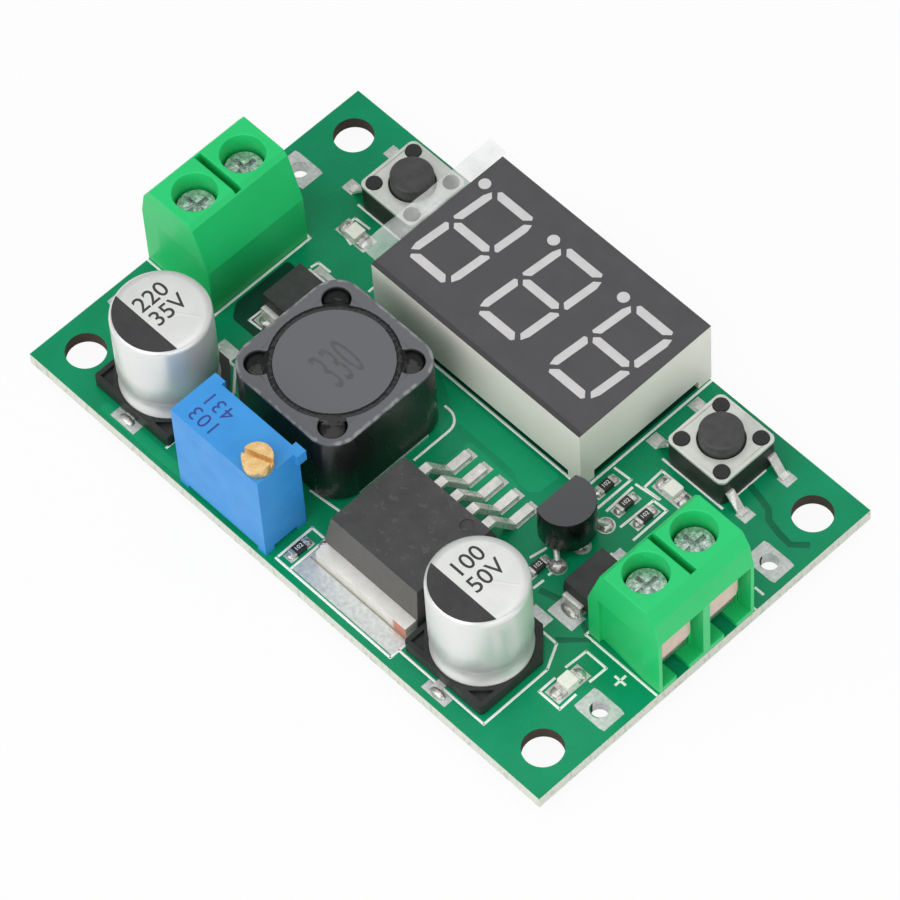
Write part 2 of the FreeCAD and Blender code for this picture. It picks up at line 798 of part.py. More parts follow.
def make_switch_base(name, x, y):
    """The moulded base, open at the top, with four riveting pegs."""
    body = new_piece(name, x=x, y=y)
    outline = new_sketch(body, "XY_Plane")
    rectangle(outline, "0", "0", "switch_size", "switch_size")
    block = pad(body, outline, "switch_base_height")
    round_edges(body, block, "switch_corner", is_upright)
    cavity = new_sketch(body, "XY_Plane", "switch_base_height")
    circle(cavity, "0", "0", "switch_cavity_radius")
    pocket(body, cavity, "switch_base_height - switch_cavity_floor")
    pegs = new_sketch(body, "XY_Plane", "switch_base_height")
    lead_holes(pegs, four_places("switch_peg_offset", "switch_peg_offset"), "switch_peg_radius")
    pad(body, pegs, "switch_cover_thickness + switch_peg_proud")


def make_switch_cover(name, x, y):
    """The pressed steel cover that the pegs hold."""
    body = new_piece(name, x=x, y=y)
    outline = new_sketch(body, "XY_Plane", "switch_base_height")
    rectangle(outline, "0", "0", "switch_size", "switch_size")
    plate = pad(body, outline, "switch_cover_thickness")
    round_edges(body, plate, "switch_corner", is_upright)
    holes = new_sketch(body, "XY_Plane", "switch_base_height + switch_cover_thickness")
    circle(holes, "0", "0", "button_radius + button_gap")
    pegs = four_places("switch_peg_offset", "switch_peg_offset")
    lead_holes(holes, pegs, "switch_peg_radius + switch_peg_gap")
    pocket(body, holes, "switch_cover_thickness")


def make_switch_button(name, x, y):
    """The plunger: a flange under the cover and a nub on the dome."""
    body = new_piece(name, x=x, y=y)
    flange_top = "switch_base_height - button_flange_gap"
    flange_bottom = f"{flange_top} - button_flange_thickness"
    nub = "switch_cavity_floor + dome_rise + dome_gap"
    turned(body, [
        ("0", nub),
        ("button_nub_radius", nub),
        ("button_nub_radius", flange_bottom),
        ("button_flange_radius", flange_bottom),
        ("button_flange_radius", flange_top),
        ("button_radius", flange_top),
        ("button_radius", "button_top - 0.15"),
        ("button_radius - 0.15", "button_top"),
        ("0", "button_top"),
    ])


def make_switch_dome(name, x, y):
    """The snap dome: a shallow cap cut from a thin spherical shell."""
    radius = "((dome_radius ^ 2 + dome_rise ^ 2) / (2 * dome_rise))"
    skins = []
    for skin, size in (("outer", radius), ("inner", f"{radius} - dome_thickness")):
        ball = doc.addObject("Part::Sphere", f"{name}_{skin}")
        ball.setExpression("Radius", bind(size))
        ball.setExpression("Placement.Base.z", bind(f"switch_cavity_floor + dome_rise - {radius}"))
        skins.append(ball)
    shell = doc.addObject("Part::Cut", f"{name}_shell")
    shell.Base, shell.Tool = skins
    space = doc.addObject("Part::Cylinder", f"{name}_space")
    space.setExpression("Radius", bind("dome_radius"))
    space.setExpression("Height", bind("dome_rise"))
    space.setExpression("Placement.Base.z", bind("switch_cavity_floor"))
    dome = doc.addObject("Part::Common", name)
    dome.Base, dome.Tool = shell, space
    dome.Label = name
    set_place(dome, x, y, BOARD_TOP)
    pieces.append(dome)


def make_switch_legs(name, x, y):
    """Four gull-wing legs, two on each side."""
    body = new_piece(name, x=x, y=y)
    side = "switch_size / 2"
    heel = f"{side} + switch_leg_reach - switch_foot_length"
    top = "switch_leg_height"
    thick = "switch_leg_thickness"
    shape = [
        (side, top),
        (f"{side} + switch_leg_shoulder", top),
        (heel, thick),
        (f"{side} + switch_leg_reach", thick),
        (f"{side} + switch_leg_reach", "0"),
        (f"{heel} - {thick} * 0.5", "0"),
        (f"{side} + switch_leg_shoulder - {thick} * 0.5", f"{top} - {thick}"),
        (side, f"{top} - {thick}"),
    ]
    for level in ("switch_leg_spread", "-switch_leg_spread"):
        sketch = new_sketch(body, "XZ_Plane", level)
        for end in BOTH_SIDES:
            polygon(sketch, [(signed(end, reach), height) for reach, height in shape])
        pad(body, sketch, "switch_leg_width", middle=True)


def make_switches():
    """Both push switches."""
    for hand, (x, y) in SWITCHES.items():
        make_switch_base(f"{hand}_switch_base", x, y)
        make_switch_cover(f"{hand}_switch_cover", x, y)
        make_switch_button(f"{hand}_switch_button", x, y)
        make_switch_dome(f"{hand}_switch_dome", x, y)
        make_switch_legs(f"{hand}_switch_legs", x, y)


# Trimmer

def make_trimmer():
    """The trimmer's case with two lugs at its rear edge, its adjusting screw and its three pins."""
    case = new_piece("trimmer_case", x="trimmer_x", y="trimmer_y")
    outline = new_sketch(case, "XY_Plane", "trimmer_standoff")
    rectangle(outline, "0", "0", "trimmer_length", "trimmer_width")
    pad(case, outline, "trimmer_top - trimmer_standoff")
    feet = new_sketch(case, "XY_Plane")
    foot_x, foot_y = "trimmer_length / 2 - trimmer_foot / 2", "trimmer_width / 2 - trimmer_foot / 2"
    for x, y in four_places(foot_x, foot_y):
        rectangle(feet, x, y, "trimmer_foot", "trimmer_foot")
    pad(case, feet, "trimmer_standoff")
    bore = new_sketch(case, "XY_Plane", "trimmer_top")
    circle(bore, "trimmer_screw_x", "trimmer_screw_y", "trimmer_shaft_radius + trimmer_shaft_gap")
    pocket(case, bore, "trimmer_shaft_length + trimmer_shaft_gap")
    lugs = new_sketch(case, "XY_Plane", "trimmer_top")
    lug_y = "trimmer_width / 2 + (trimmer_lug_reach - trimmer_lug_inset) / 2"
    lug_depth = "trimmer_lug_reach + trimmer_lug_inset"
    left_x = "(trimmer_lug_length - trimmer_length) / 2"
    right_x = "(trimmer_length - trimmer_lug_length) / 2 + trimmer_lug_overhang"
    for x in (left_x, right_x):
        rectangle(lugs, x, lug_y, "trimmer_lug_length", lug_depth)
    pad(case, lugs, "trimmer_lug_height", backwards=True)

    screw = new_piece(
        "trimmer_screw",
        x="trimmer_x + trimmer_screw_x",
        y="trimmer_y + trimmer_screw_y",
        z=f"{BOARD_TOP} + trimmer_top",
        turn="trimmer_screw_turn",
    )
    turned(screw, [
        ("0", "-trimmer_shaft_length"),
        ("trimmer_shaft_radius", "-trimmer_shaft_length"),
        ("trimmer_shaft_radius", "trimmer_head_gap"),
        ("trimmer_head_radius", "trimmer_head_gap"),
        ("trimmer_head_radius", "trimmer_head_proud"),
        ("0", "trimmer_head_proud"),
    ])
    slot = new_sketch(screw, "XY_Plane", "trimmer_head_proud")
    rectangle(slot, "0", "0", "trimmer_head_radius * 2.2", "trimmer_slot_width")
    pocket(screw, slot, "trimmer_slot_depth")

    pins = new_piece("trimmer_pins")
    sketch = new_sketch(pins, "XY_Plane", "trimmer_standoff")
    lead_holes(sketch, trimmer_pin_places(), "round_pin_radius")
    pad(pins, sketch, f"trimmer_standoff + {BOARD_TOP}", backwards=True)


# Shielded coil

def make_coil():
    """The ferrite shield, the wound core in its bore, the corner glue and the solder strips."""
    lobe_places = four_places("coil_lobe_offset", "coil_lobe_offset")
    shield = new_piece("coil_shield", x="coil_x", y="coil_y")
    outline = new_sketch(shield, "XY_Plane", "coil_pad_thickness")
    rectangle(outline, "0", "0", "coil_size", "coil_size")
    block = pad(shield, outline, "coil_top - coil_pad_thickness")
    round_edges(shield, block, "coil_corner", is_upright)
    bore = new_sketch(shield, "XY_Plane", "coil_top")
    circle(bore, "0", "0", "coil_bore_radius")
    pocket(shield, bore, "coil_top - coil_pad_thickness")
    lobes = new_sketch(shield, "XY_Plane", "coil_top")
    lead_holes(lobes, lobe_places, "coil_lobe_radius")
    pocket(shield, lobes, "coil_lobe_depth")

    glue = new_piece("coil_glue", x="coil_x", y="coil_y")
    drops = new_sketch(glue, "XY_Plane", "coil_top - coil_lobe_depth")
    lead_holes(drops, lobe_places, "coil_lobe_radius")
    pad(glue, drops, "coil_lobe_depth - coil_glue_drop")
    inside = new_sketch(glue, "XY_Plane", "coil_top")
    circle(inside, "0", "0", "coil_bore_radius")
    pocket(glue, inside, "coil_lobe_depth")

    core = new_piece("coil_core", x="coil_x", y="coil_y")
    foot_top = "coil_pad_thickness + coil_flange_thickness"
    cap_bottom = "coil_top - coil_flange_thickness"
    turned(core, [
        ("0", "coil_pad_thickness"),
        ("coil_foot_radius", "coil_pad_thickness"),
        ("coil_foot_radius", foot_top),
        ("coil_post_radius", foot_top),
        ("coil_post_radius", cap_bottom),
        ("coil_flange_radius", cap_bottom),
        ("coil_flange_radius", "coil_top"),
        ("0", "coil_top"),
    ])

    winding = new_piece("coil_winding", x="coil_x", y="coil_y")
    low = f"{foot_top} + coil_winding_gap"
    high = f"{cap_bottom} - coil_winding_gap"
    turned(winding, [
        ("coil_post_radius + coil_winding_gap", low),
        ("coil_winding_radius", low),
        ("coil_winding_radius", high),
        ("coil_post_radius + coil_winding_gap", high),
    ])

    strips = new_piece("coil_terminals", x="coil_x", y="coil_y")
    sketch = new_sketch(strips, "XY_Plane")
    for end in BOTH_SIDES:
        x = signed(end, "coil_size / 2 - coil_pad_width / 2")
        rectangle(sketch, x, "0", "coil_pad_width", "coil_size - coil_corner * 2")
    pad(strips, sketch, "coil_pad_thickness")


# Can capacitors

def make_capacitor(end, x, y):
    """A can on its moulded base, with two flat leads under it."""
    can = new_piece(f"{end}_capacitor_can", x=x, y=y)
    inner = "can_radius - can_bead_depth"
    turned(can, [
        ("0", "can_bottom"),
        ("can_radius - can_top_round", "can_bottom"),
        ("can_radius", "can_bottom + can_top_round"),
        ("can_radius", "can_bead_height - can_bead_width / 2"),
        (inner, "can_bead_height"),
        ("can_radius", "can_bead_height + can_bead_width / 2"),
        ("can_radius", "can_top - can_top_round"),
        ("can_radius - can_top_round * 0.3", "can_top - can_top_round * 0.3"),
        ("can_radius - can_top_round", "can_top"),
        ("0", "can_top"),
    ])

    base = new_piece(f"{end}_capacitor_base", x=x, y=y)
    side = "cap_base_size / 2"
    outline = new_sketch(base, "XY_Plane", "cap_lead_thickness")
    polygon(outline, [
        (f"-{side}", f"-{side}"),
        (side, f"-{side}"),
        (side, f"{side} - cap_base_bevel"),
        (f"{side} - cap_base_bevel", side),
        (f"-{side} + cap_base_bevel", side),
        (f"-{side}", f"{side} - cap_base_bevel"),
    ])
    block = pad(base, outline, "cap_base_height - cap_lead_thickness")

    def front_corner(edge):
        return is_upright(edge) and edge.CenterOfMass.y < -read("cap_base_size") * 0.45

    round_edges(base, block, "cap_base_round", front_corner)
    corner = f"({side} - cap_base_rim)"
    nooks = new_sketch(base, "XY_Plane", "cap_base_height")
    for sign in BOTH_SIDES:
        polygon(nooks, [
            (signed(sign, corner), f"-{corner}"),
            (signed(sign, corner), f"cap_nook_leg - {corner}"),
            (signed(sign, f"({corner} - cap_nook_leg)"), f"-{corner}"),
        ])
    pocket(base, nooks, "cap_nook_depth")
    seat = new_sketch(base, "XY_Plane", "cap_base_height")
    circle(seat, "0", "0", "can_radius + can_gap")
    pocket(base, seat, "cap_base_height - can_bottom")

    leads = new_piece(f"{end}_capacitor_leads", x=x, y=y)
    strips = new_sketch(leads, "XY_Plane")
    for side in BOTH_SIDES:
        y_middle = signed(side, "(cap_lead_inner + cap_lead_outer) / 2")
        rectangle(strips, "0", y_middle, "cap_lead_width", "cap_lead_outer - cap_lead_inner")
    pad(leads, strips, "cap_lead_thickness")


# Regulator

def make_regulator():
    """The moulded body over its tab, with five formed leads."""
    body = new_piece("regulator_body", x="regulator_x")
    profile = new_sketch(body, "YZ_Plane")
    polygon(profile, [
        ("regulator_front", "regulator_seat"),
        ("regulator_rear", "regulator_seat"),
        ("regulator_rear", "regulator_rear_step"),
        ("regulator_top_rear", "regulator_height"),
        ("regulator_top_front", "regulator_height"),
        ("regulator_front", "regulator_front_step"),
    ])
    pad(body, profile, "regulator_width", middle=True)
    ends = new_sketch(body, "XZ_Plane")
    for side in BOTH_SIDES:
        polygon(ends, [
            (signed(side, "regulator_width / 2"), "regulator_front_step"),
            (signed(side, "regulator_width / 2"), "regulator_height"),
            (signed(side, "(regulator_width / 2 - regulator_end_slope)"), "regulator_height"),
        ])
    pocket(body, ends, "-regulator_front * 2.2", middle=True)
    under = new_sketch(body, "XY_Plane")
    middle = "(regulator_front + tab_rear) / 2"
    rectangle(under, "0", middle, "tab_width", "tab_rear - regulator_front")
    pocket(body, under, "tab_thickness", backwards=True)
    dimple = new_sketch(body, "XY_Plane", "regulator_height")
    circle(dimple, "regulator_dimple_x", "regulator_dimple_y", "regulator_dimple_radius")
    pocket(body, dimple, "regulator_dimple_depth")

    tab = new_piece("regulator_tab", x="regulator_x")
    outline = new_sketch(tab, "XY_Plane")
    rectangle(outline, "0", "(tab_front + tab_rear) / 2", "tab_width", "tab_rear - tab_front")
    pad(tab, outline, "tab_thickness")

    leads = new_piece("regulator_leads", x="regulator_x")
    first = new_sketch(leads, "YZ_Plane", f"-lead_pitch * {(REGULATOR_LEAD_COUNT - 1) / 2}")
    polygon(first, [
        ("regulator_rear", "lead_exit_height"),
        ("lead_shoulder", "lead_exit_height"),
        ("lead_heel", "lead_thickness"),
        ("lead_toe", "lead_thickness"),
        ("lead_toe", "0"),
        ("lead_heel - lead_thickness * 0.6", "0"),
        ("lead_shoulder - lead_thickness * 0.5", "lead_exit_height - lead_thickness"),
        ("regulator_rear", "lead_exit_height - lead_thickness"),
    ])
    lead = pad(leads, first, "lead_width", middle=True)
    doc.recompute()
    row = leads.newObject("PartDesign::LinearPattern", "regulator_lead_row")
    row.Originals = [lead]
    row.Direction = (origin_feature(leads, "X_Axis"), [""])
    row.setExpression("Length", bind(f"lead_pitch * {REGULATOR_LEAD_COUNT - 1}"))
    row.Occurrences = REGULATOR_LEAD_COUNT
    leads.Tip = row


# Diodes

def make_diode(end, x, y):
    """A moulded diode with a folded lead at each end."""
    body = new_piece(f"{end}_diode_body", x=x, y=y)
    half = "diode_length / 2"
    parting = "(diode_lead_height - diode_lead_thickness / 2)"
    profile = new_sketch(body, "YZ_Plane")
    polygon(profile, [
        (f"-{half} + diode_taper", "diode_seat"),
        (f"{half} - diode_taper", "diode_seat"),
        (half, f"{parting} - diode_lead_thickness / 2"),
        (half, f"{parting} + diode_lead_thickness / 2"),
        (f"{half} - diode_taper", "diode_height"),
        (f"-{half} + diode_taper", "diode_height"),
        (f"-{half}", f"{parting} + diode_lead_thickness / 2"),
        (f"-{half}", f"{parting} - diode_lead_thickness / 2"),
    ])
    pad(body, profile, "diode_width", middle=True)

    leads = new_piece(f"{end}_diode_leads", x=x, y=y)
    sketch = new_sketch(leads, "YZ_Plane")
    thick = "diode_lead_thickness"
    shape = [
        (half, "diode_lead_height"),
        (f"{half} + diode_lead_reach", "diode_lead_height"),
        (f"{half} + diode_lead_reach", "0"),
        ("diode_lead_inner", "0"),
        ("diode_lead_inner", thick),
        (f"{half} + diode_lead_reach - {thick}", thick),
        (f"{half} + diode_lead_reach - {thick}", f"diode_lead_height - {thick}"),
        (half, f"diode_lead_height - {thick}"),
    ]
    for side in BOTH_SIDES:
        polygon(sketch, [(signed(side, reach), height) for reach, height in shape])
    pad(leads, sketch, "diode_lead_width", middle=True)


# Three-pin reference

def make_reference():
    """A D-shaped moulding standing on three bent leads."""
    body = new_piece("reference_body", x=REFERENCE_X, y="reference_y")
    outline = new_sketch(body, "XY_Plane", "reference_bottom")
    circle(outline, "0", "0", "reference_radius")
    pad(body, outline, "reference_top - reference_bottom")
    flat = new_sketch(body, "XY_Plane", "reference_top")
    rectangle(flat, "-reference_flat - reference_radius / 2", "0", "reference_radius", "reference_radius * 2")
    pocket(body, flat, "reference_top - reference_bottom")

    radius = read("round_pin_radius")
    board_top = read("tip_drop") + read("board_thickness")
    bottom = read("reference_bottom")
    reach = read("reference_row_offset")
    wires = []
    for step in (-1, 0, 1):
        y_body = step * read("reference_lead_pitch")
        y_board = step * read("pin_pitch")
        path = Part.Wire(Part.makePolygon([
            V(0, y_body, bottom),
            V(0, y_body, read("reference_lead_bend")),
            V(reach, y_board, radius),
            V(reach, y_board, -board_top),
        ]).Edges)
        section = Part.Wire(Part.makeCircle(radius, V(0, y_body, bottom), V(0, 0, 1)))
        wires.append(path.makePipeShell([section], True, False, 1))
    leads = doc.addObject("Part::Feature", "reference_leads")
    leads.Label = "reference_leads"
    leads.Shape = Part.makeCompound(wires)
    set_place(leads, REFERENCE_X, "reference_y", BOARD_TOP)
    pieces.append(leads)


# Small chips

def make_blocks(name, blocks, low, height):
    """A group of boxes: (x, y, length along x, width along y)."""
    body = new_piece(name)
    sketch = new_sketch(body, "XY_Plane", low)
    for block in blocks:
        rectangle(sketch, *block)
    pad(body, sketch, height)


def make_chips():
    """Chip resistors and indicator lamps, each a body between two metal ends."""
    bodies, ends = [], []
    for x, y in CHIPS:
        bodies.append((x, y, "chip_width", "chip_length - chip_end * 2"))
        for side in BOTH_SIDES:
            middle = f"{y} + {signed(side, 'chip_length / 2 - chip_end / 2')}"
            ends.append((x, middle, "chip_width", "chip_end"))
    make_blocks("chip_resistor_bodies", bodies, "0", "chip_height")
    make_blocks("chip_resistor_ends", ends, "0", "chip_height")
    bodies, ends = [], []
    for x, y in LAMPS_ALONG_X:
        bodies.append((x, y, "lamp_length - lamp_end * 2", "lamp_width"))
        for side in BOTH_SIDES:
            middle = f"{x} + {signed(side, 'lamp_length / 2 - lamp_end / 2')}"
            ends.append((middle, y, "lamp_end", "lamp_width"))
    for x, y in LAMPS_ALONG_Y:
        bodies.append((x, y, "lamp_width", "lamp_length - lamp_end * 2"))
        for side in BOTH_SIDES:
            middle = f"{y} + {signed(side, 'lamp_length / 2 - lamp_end / 2')}"
            ends.append((x, middle, "lamp_width", "lamp_end"))
    make_blocks("indicator_lamp_bodies", bodies, "0", "lamp_height")
    make_blocks("indicator_lamp_ends", ends, "0", "lamp_height / 2")


def make_controller():
    """The flat meter controller hidden under the display."""
    block = ("controller_x", "controller_y", "controller_length", "controller_width")
    make_blocks("controller_body", [block], "controller_seat", "controller_height - controller_seat")
    leads = new_piece("controller_leads", x="controller_x", y="controller_y")
    first = new_sketch(leads, "YZ_Plane", f"-controller_pitch * {(CONTROLLER_LEAD_COUNT - 1) / 2}")
    side = "controller_width / 2"
    thick = "controller_lead_thickness"
    shape = [
        (side, "controller_lead_height"),
        (f"{side} + controller_lead_reach / 3", "controller_lead_height"),
        (f"{side} + controller_lead_reach / 2", thick),
        (f"{side} + controller_lead_reach", thick),
        (f"{side} + controller_lead_reach", "0"),
        (f"{side} + controller_lead_reach / 3", "0"),
        (f"{side} + controller_lead_reach / 6", f"controller_lead_height - {thick}"),
        (side, f"controller_lead_height - {thick}"),
    ]
    for sign in BOTH_SIDES:
        polygon(first, [(signed(sign, reach), height) for reach, height in shape])
    pair = pad(leads, first, "controller_lead_width", middle=True)
    doc.recompute()
    row = leads.newObject("PartDesign::LinearPattern", "controller_lead_row")
    row.Originals = [pair]
    row.Direction = (origin_feature(leads, "X_Axis"), [""])
    row.setExpression("Length", bind(f"controller_pitch * {CONTROLLER_LEAD_COUNT - 1}"))
    row.Occurrences = CONTROLLER_LEAD_COUNT
    leads.Tip = row


def check_and_export():
    """Stop on any failed object; otherwise write one file for each piece."""
    doc.recompute()
    for item in doc.Objects:
        if "Invalid" in item.State or "Error" in item.State:
            raise RuntimeError(f"{item.Name} failed: {item.State}")
        if item.TypeId == "PartDesign::Pocket" and item.Shape.Volume >= item.BaseFeature.Shape.Volume - 1e-6:
            raise RuntimeError(f"{item.Name} cuts nothing")
    os.makedirs("parts", exist_ok=True)
    for piece in pieces:
        if piece.Shape.isNull() or not piece.Shape.isValid():
            raise RuntimeError(f"{piece.Label} has no valid shape")
        piece.Shape.exportStep(os.path.join("parts", f"{piece.Label}.step"))
        print(piece.Label, len(piece.Shape.Solids), round(piece.Shape.Volume, 3))


make_circuit_board()
make_solder_joints()
make_terminals()
make_display()
make_switches()
make_trimmer()
make_coil()
make_capacitor("output", "output_cap_x", "output_cap_y")
make_capacitor("input", "input_cap_x", "input_cap_y")
make_regulator()
make_diode("output", OUTPUT_DIODE_X, "output_diode_y")
make_diode("input", INPUT_DIODE_X, "input_diode_y")
make_reference()
make_chips()
make_controller()
check_and_export()
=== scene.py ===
import math

import bmesh
import bpy
from mathutils import Matrix, Vector


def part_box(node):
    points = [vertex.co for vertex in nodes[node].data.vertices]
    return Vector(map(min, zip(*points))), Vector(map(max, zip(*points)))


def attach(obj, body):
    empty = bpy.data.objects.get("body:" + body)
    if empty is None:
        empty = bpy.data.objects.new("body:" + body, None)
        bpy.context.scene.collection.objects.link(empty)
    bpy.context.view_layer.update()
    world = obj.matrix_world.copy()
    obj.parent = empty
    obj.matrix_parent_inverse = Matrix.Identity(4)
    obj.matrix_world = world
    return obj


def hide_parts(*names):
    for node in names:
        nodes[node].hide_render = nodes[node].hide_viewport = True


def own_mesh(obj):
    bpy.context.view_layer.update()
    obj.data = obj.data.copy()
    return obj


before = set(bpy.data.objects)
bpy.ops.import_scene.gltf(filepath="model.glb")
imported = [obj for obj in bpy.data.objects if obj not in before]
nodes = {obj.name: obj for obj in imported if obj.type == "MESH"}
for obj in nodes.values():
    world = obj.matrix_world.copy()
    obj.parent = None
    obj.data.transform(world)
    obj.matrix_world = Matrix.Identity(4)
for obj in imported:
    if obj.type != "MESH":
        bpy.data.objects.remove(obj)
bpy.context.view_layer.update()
mm = 0.001
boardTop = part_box("circuit_board")[1].z / mm
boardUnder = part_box("circuit_board")[0].z / mm
print("frame loaded,", len(nodes), "nodes")


# small tools

def hexColour(text):
    # an sRGB hex value as linear light
    parts = [int(text[i:i + 2], 16) / 255 for i in (1, 3, 5)]
    return [c / 12.92 if c <= 0.04045 else ((c + 0.055) / 1.055) ** 2.4 for c in parts] + [1.0]


def addNode(tree, kind, sockets=None, **settings):
    # one node with its settings, its socket values and its links
    node = tree.nodes.new(kind)
    for name, value in settings.items():
        setattr(node, name, value)
    for socket, value in (sockets or {}).items():
        if isinstance(value, tuple) and isinstance(value[0], bpy.types.Node):
            tree.links.new(value[0].outputs[value[1]], node.inputs[socket])
        else:
            node.inputs[socket].default_value = value
    return node


def objectMode():
    bpy.ops.object.mode_set(mode="OBJECT")


def selectAll():
    # the whole mesh, in edit mode
    bpy.ops.mesh.select_all(action="SELECT")


def closeUp():
    # every face outwards, and back to object mode
    selectAll()
    bpy.ops.mesh.normals_make_consistent(inside=False)
    objectMode()


def deselectAll():
    if bpy.context.object and bpy.context.object.mode != "OBJECT":
        objectMode()
    bpy.ops.object.select_all(action="DESELECT")


def grab(piece):
    # make one object the only selected one, and active
    deselectAll()
    piece.select_set(True)
    bpy.context.view_layer.objects.active = piece
    return piece


def editMode(piece):
    grab(piece)
    bpy.ops.object.mode_set(mode="EDIT")
    bpy.ops.mesh.select_all(action="DESELECT")
    bpy.ops.mesh.select_mode(type="FACE")
    return bmesh.from_edit_mesh(piece.data)


def emptyMesh():
    # a new object in edit mode, with nothing in its mesh yet
    bpy.ops.mesh.primitive_plane_add(size=1)
    piece = bpy.context.object
    cage = editMode(piece)
    bmesh.ops.delete(cage, geom=cage.verts[:], context="VERTS")
    return piece, cage


def linked(name, data):
    # a new object in the scene
    piece = bpy.data.objects.new(name, data)
    bpy.context.scene.collection.objects.link(piece)
    return piece


def applyModifier(piece, kind, **settings):
    grab(piece)
    modifier = piece.modifiers.new(kind.lower(), kind)
    for name, value in settings.items():
        setattr(modifier, name, value)
    bpy.ops.object.modifier_apply(modifier=modifier.name)


def settle(piece):
    # place, turn and scale go into the mesh
    grab(piece)
    bpy.ops.object.transform_apply(location=True, rotation=True, scale=True)
    return piece


def joined(pieces):
    deselectAll()
    for piece in pieces:
        piece.select_set(True)
    bpy.context.view_layer.objects.active = pieces[0]
    if len(pieces) > 1:
        bpy.ops.object.join()
    return settle(pieces[0])


def finishPiece(piece, name, finishKey, body="module", replaces=(), smooth=40):
    # name, place, shading, finish, and the body that carries it
    settle(piece)
    piece.name = name
    piece.data.name = name
    bpy.ops.object.shade_smooth_by_angle(angle=math.radians(smooth))
    piece.data.materials.clear()
    piece.data.materials.append(finish[finishKey])
    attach(piece, body)
    if replaces:
        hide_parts(*replaces)


# finishes

def newMaterial(name):
    material = bpy.data.materials.new(name)
    material.use_nodes = True
    tree = material.node_tree
    tree.nodes.clear()
    shader = addNode(tree, "ShaderNodeBsdfPrincipled")
    addNode(tree, "ShaderNodeOutputMaterial", {"Surface": (shader, "BSDF")})
    return material, tree, shader


noise = {
    "detail": 4.0,
    # nearly all of a noise texture's values lie between these
    "least": 0.34,
    "most": 0.66,
    # the gloss wanders over smaller patches than the tones
    "glossGrain": 0.6,
}


def wander(tree, grain, low, high, stretch=None):
    # noise over patches of one size in mm, spread between two values
    spot = addNode(tree, "ShaderNodeTexCoord")
    source = (spot, "Object")
    if stretch:
        mapping = addNode(tree, "ShaderNodeMapping", {"Vector": source, "Scale": stretch})
        source = (mapping, "Vector")
    patches = addNode(tree, "ShaderNodeTexNoise",
                      {"Vector": source, "Scale": 1 / (grain * mm), "Detail": noise["detail"]})
    return addNode(tree, "ShaderNodeMapRange",
                   {0: (patches, 0), 1: noise["least"], 2: noise["most"], 3: low, 4: high})


def mottled(name, tones, grain, roughness, spread=0.05, metallic=0.0, relief=0.0,
            reliefGrain=0.3, stretch=None, sockets=None):
    # two tones and a gloss that wander over the surface, with a fine relief; grains in mm
    material, tree, shader = newMaterial(name)
    patches = wander(tree, grain, 0.0, 1.0, stretch=stretch)
    first, second = (hexColour(tone) for tone in tones)
    tint = addNode(tree, "ShaderNodeMix", {0: (patches, 0), 6: first, 7: second}, data_type="RGBA")
    tree.links.new(tint.outputs[2], shader.inputs["Base Color"])
    gloss = wander(tree, grain * noise["glossGrain"], roughness - spread, roughness + spread)
    tree.links.new(gloss.outputs[0], shader.inputs["Roughness"])
    shader.inputs["Metallic"].default_value = metallic
    for socket, value in (sockets or {}).items():
        shader.inputs[socket].default_value = value
    if relief:
        grit = wander(tree, reliefGrain, 0.0, 1.0, stretch=stretch)
        bump = addNode(tree, "ShaderNodeBump",
                       {"Height": (grit, 0), "Distance": relief * mm, "Strength": 1.0})
        tree.links.new(bump.outputs[0], shader.inputs["Normal"])
    return material


def calculate(tree, kind, *values):
    # one sum, as a source for another node
    return (addNode(tree, "ShaderNodeMath", dict(enumerate(values)), operation=kind), 0)


def place(tree, axis):
    # one coordinate of the surface, in metres
    spot = addNode(tree, "ShaderNodeTexCoord")
    split = addNode(tree, "ShaderNodeSeparateXYZ", {0: (spot, "Object")})
    return (split, axis)


def facing(tree, axis):
    # one part of the surface's own normal
    shape = addNode(tree, "ShaderNodeNewGeometry")
    split = addNode(tree, "ShaderNodeSeparateXYZ", {0: (shape, "True Normal")})
    return (split, axis)


def between(tree, source, low, high):
    # 0 at one value, 1 at the other, clamped
    return (addNode(tree, "ShaderNodeMapRange", {0: source, 1: low, 2: high, 3: 0.0, 4: 1.0}), 0)


def paintOver(material, mask, tone, roughness=None):
    # another tone, and gloss, where the mask is 1
    tree = material.node_tree
    shader = next(node for node in tree.nodes if node.type == "BSDF_PRINCIPLED")
    base = shader.inputs["Base Color"]
    tint = addNode(tree, "ShaderNodeMix", {0: mask, 7: hexColour(tone)}, data_type="RGBA")
    tree.links.new(base.links[0].from_socket, tint.inputs[6])
    tree.links.new(tint.outputs[2], base)
    if roughness is not None:
        gloss = shader.inputs["Roughness"]
        blend = addNode(tree, "ShaderNodeMix", {0: mask, 3: roughness})
        tree.links.new(gloss.links[0].from_socket, blend.inputs[2])
        tree.links.new(blend.outputs[0], gloss)


# solder mask mirrors less than its gloss suggests
maskSockets = {"Specular IOR Level": 0.2}


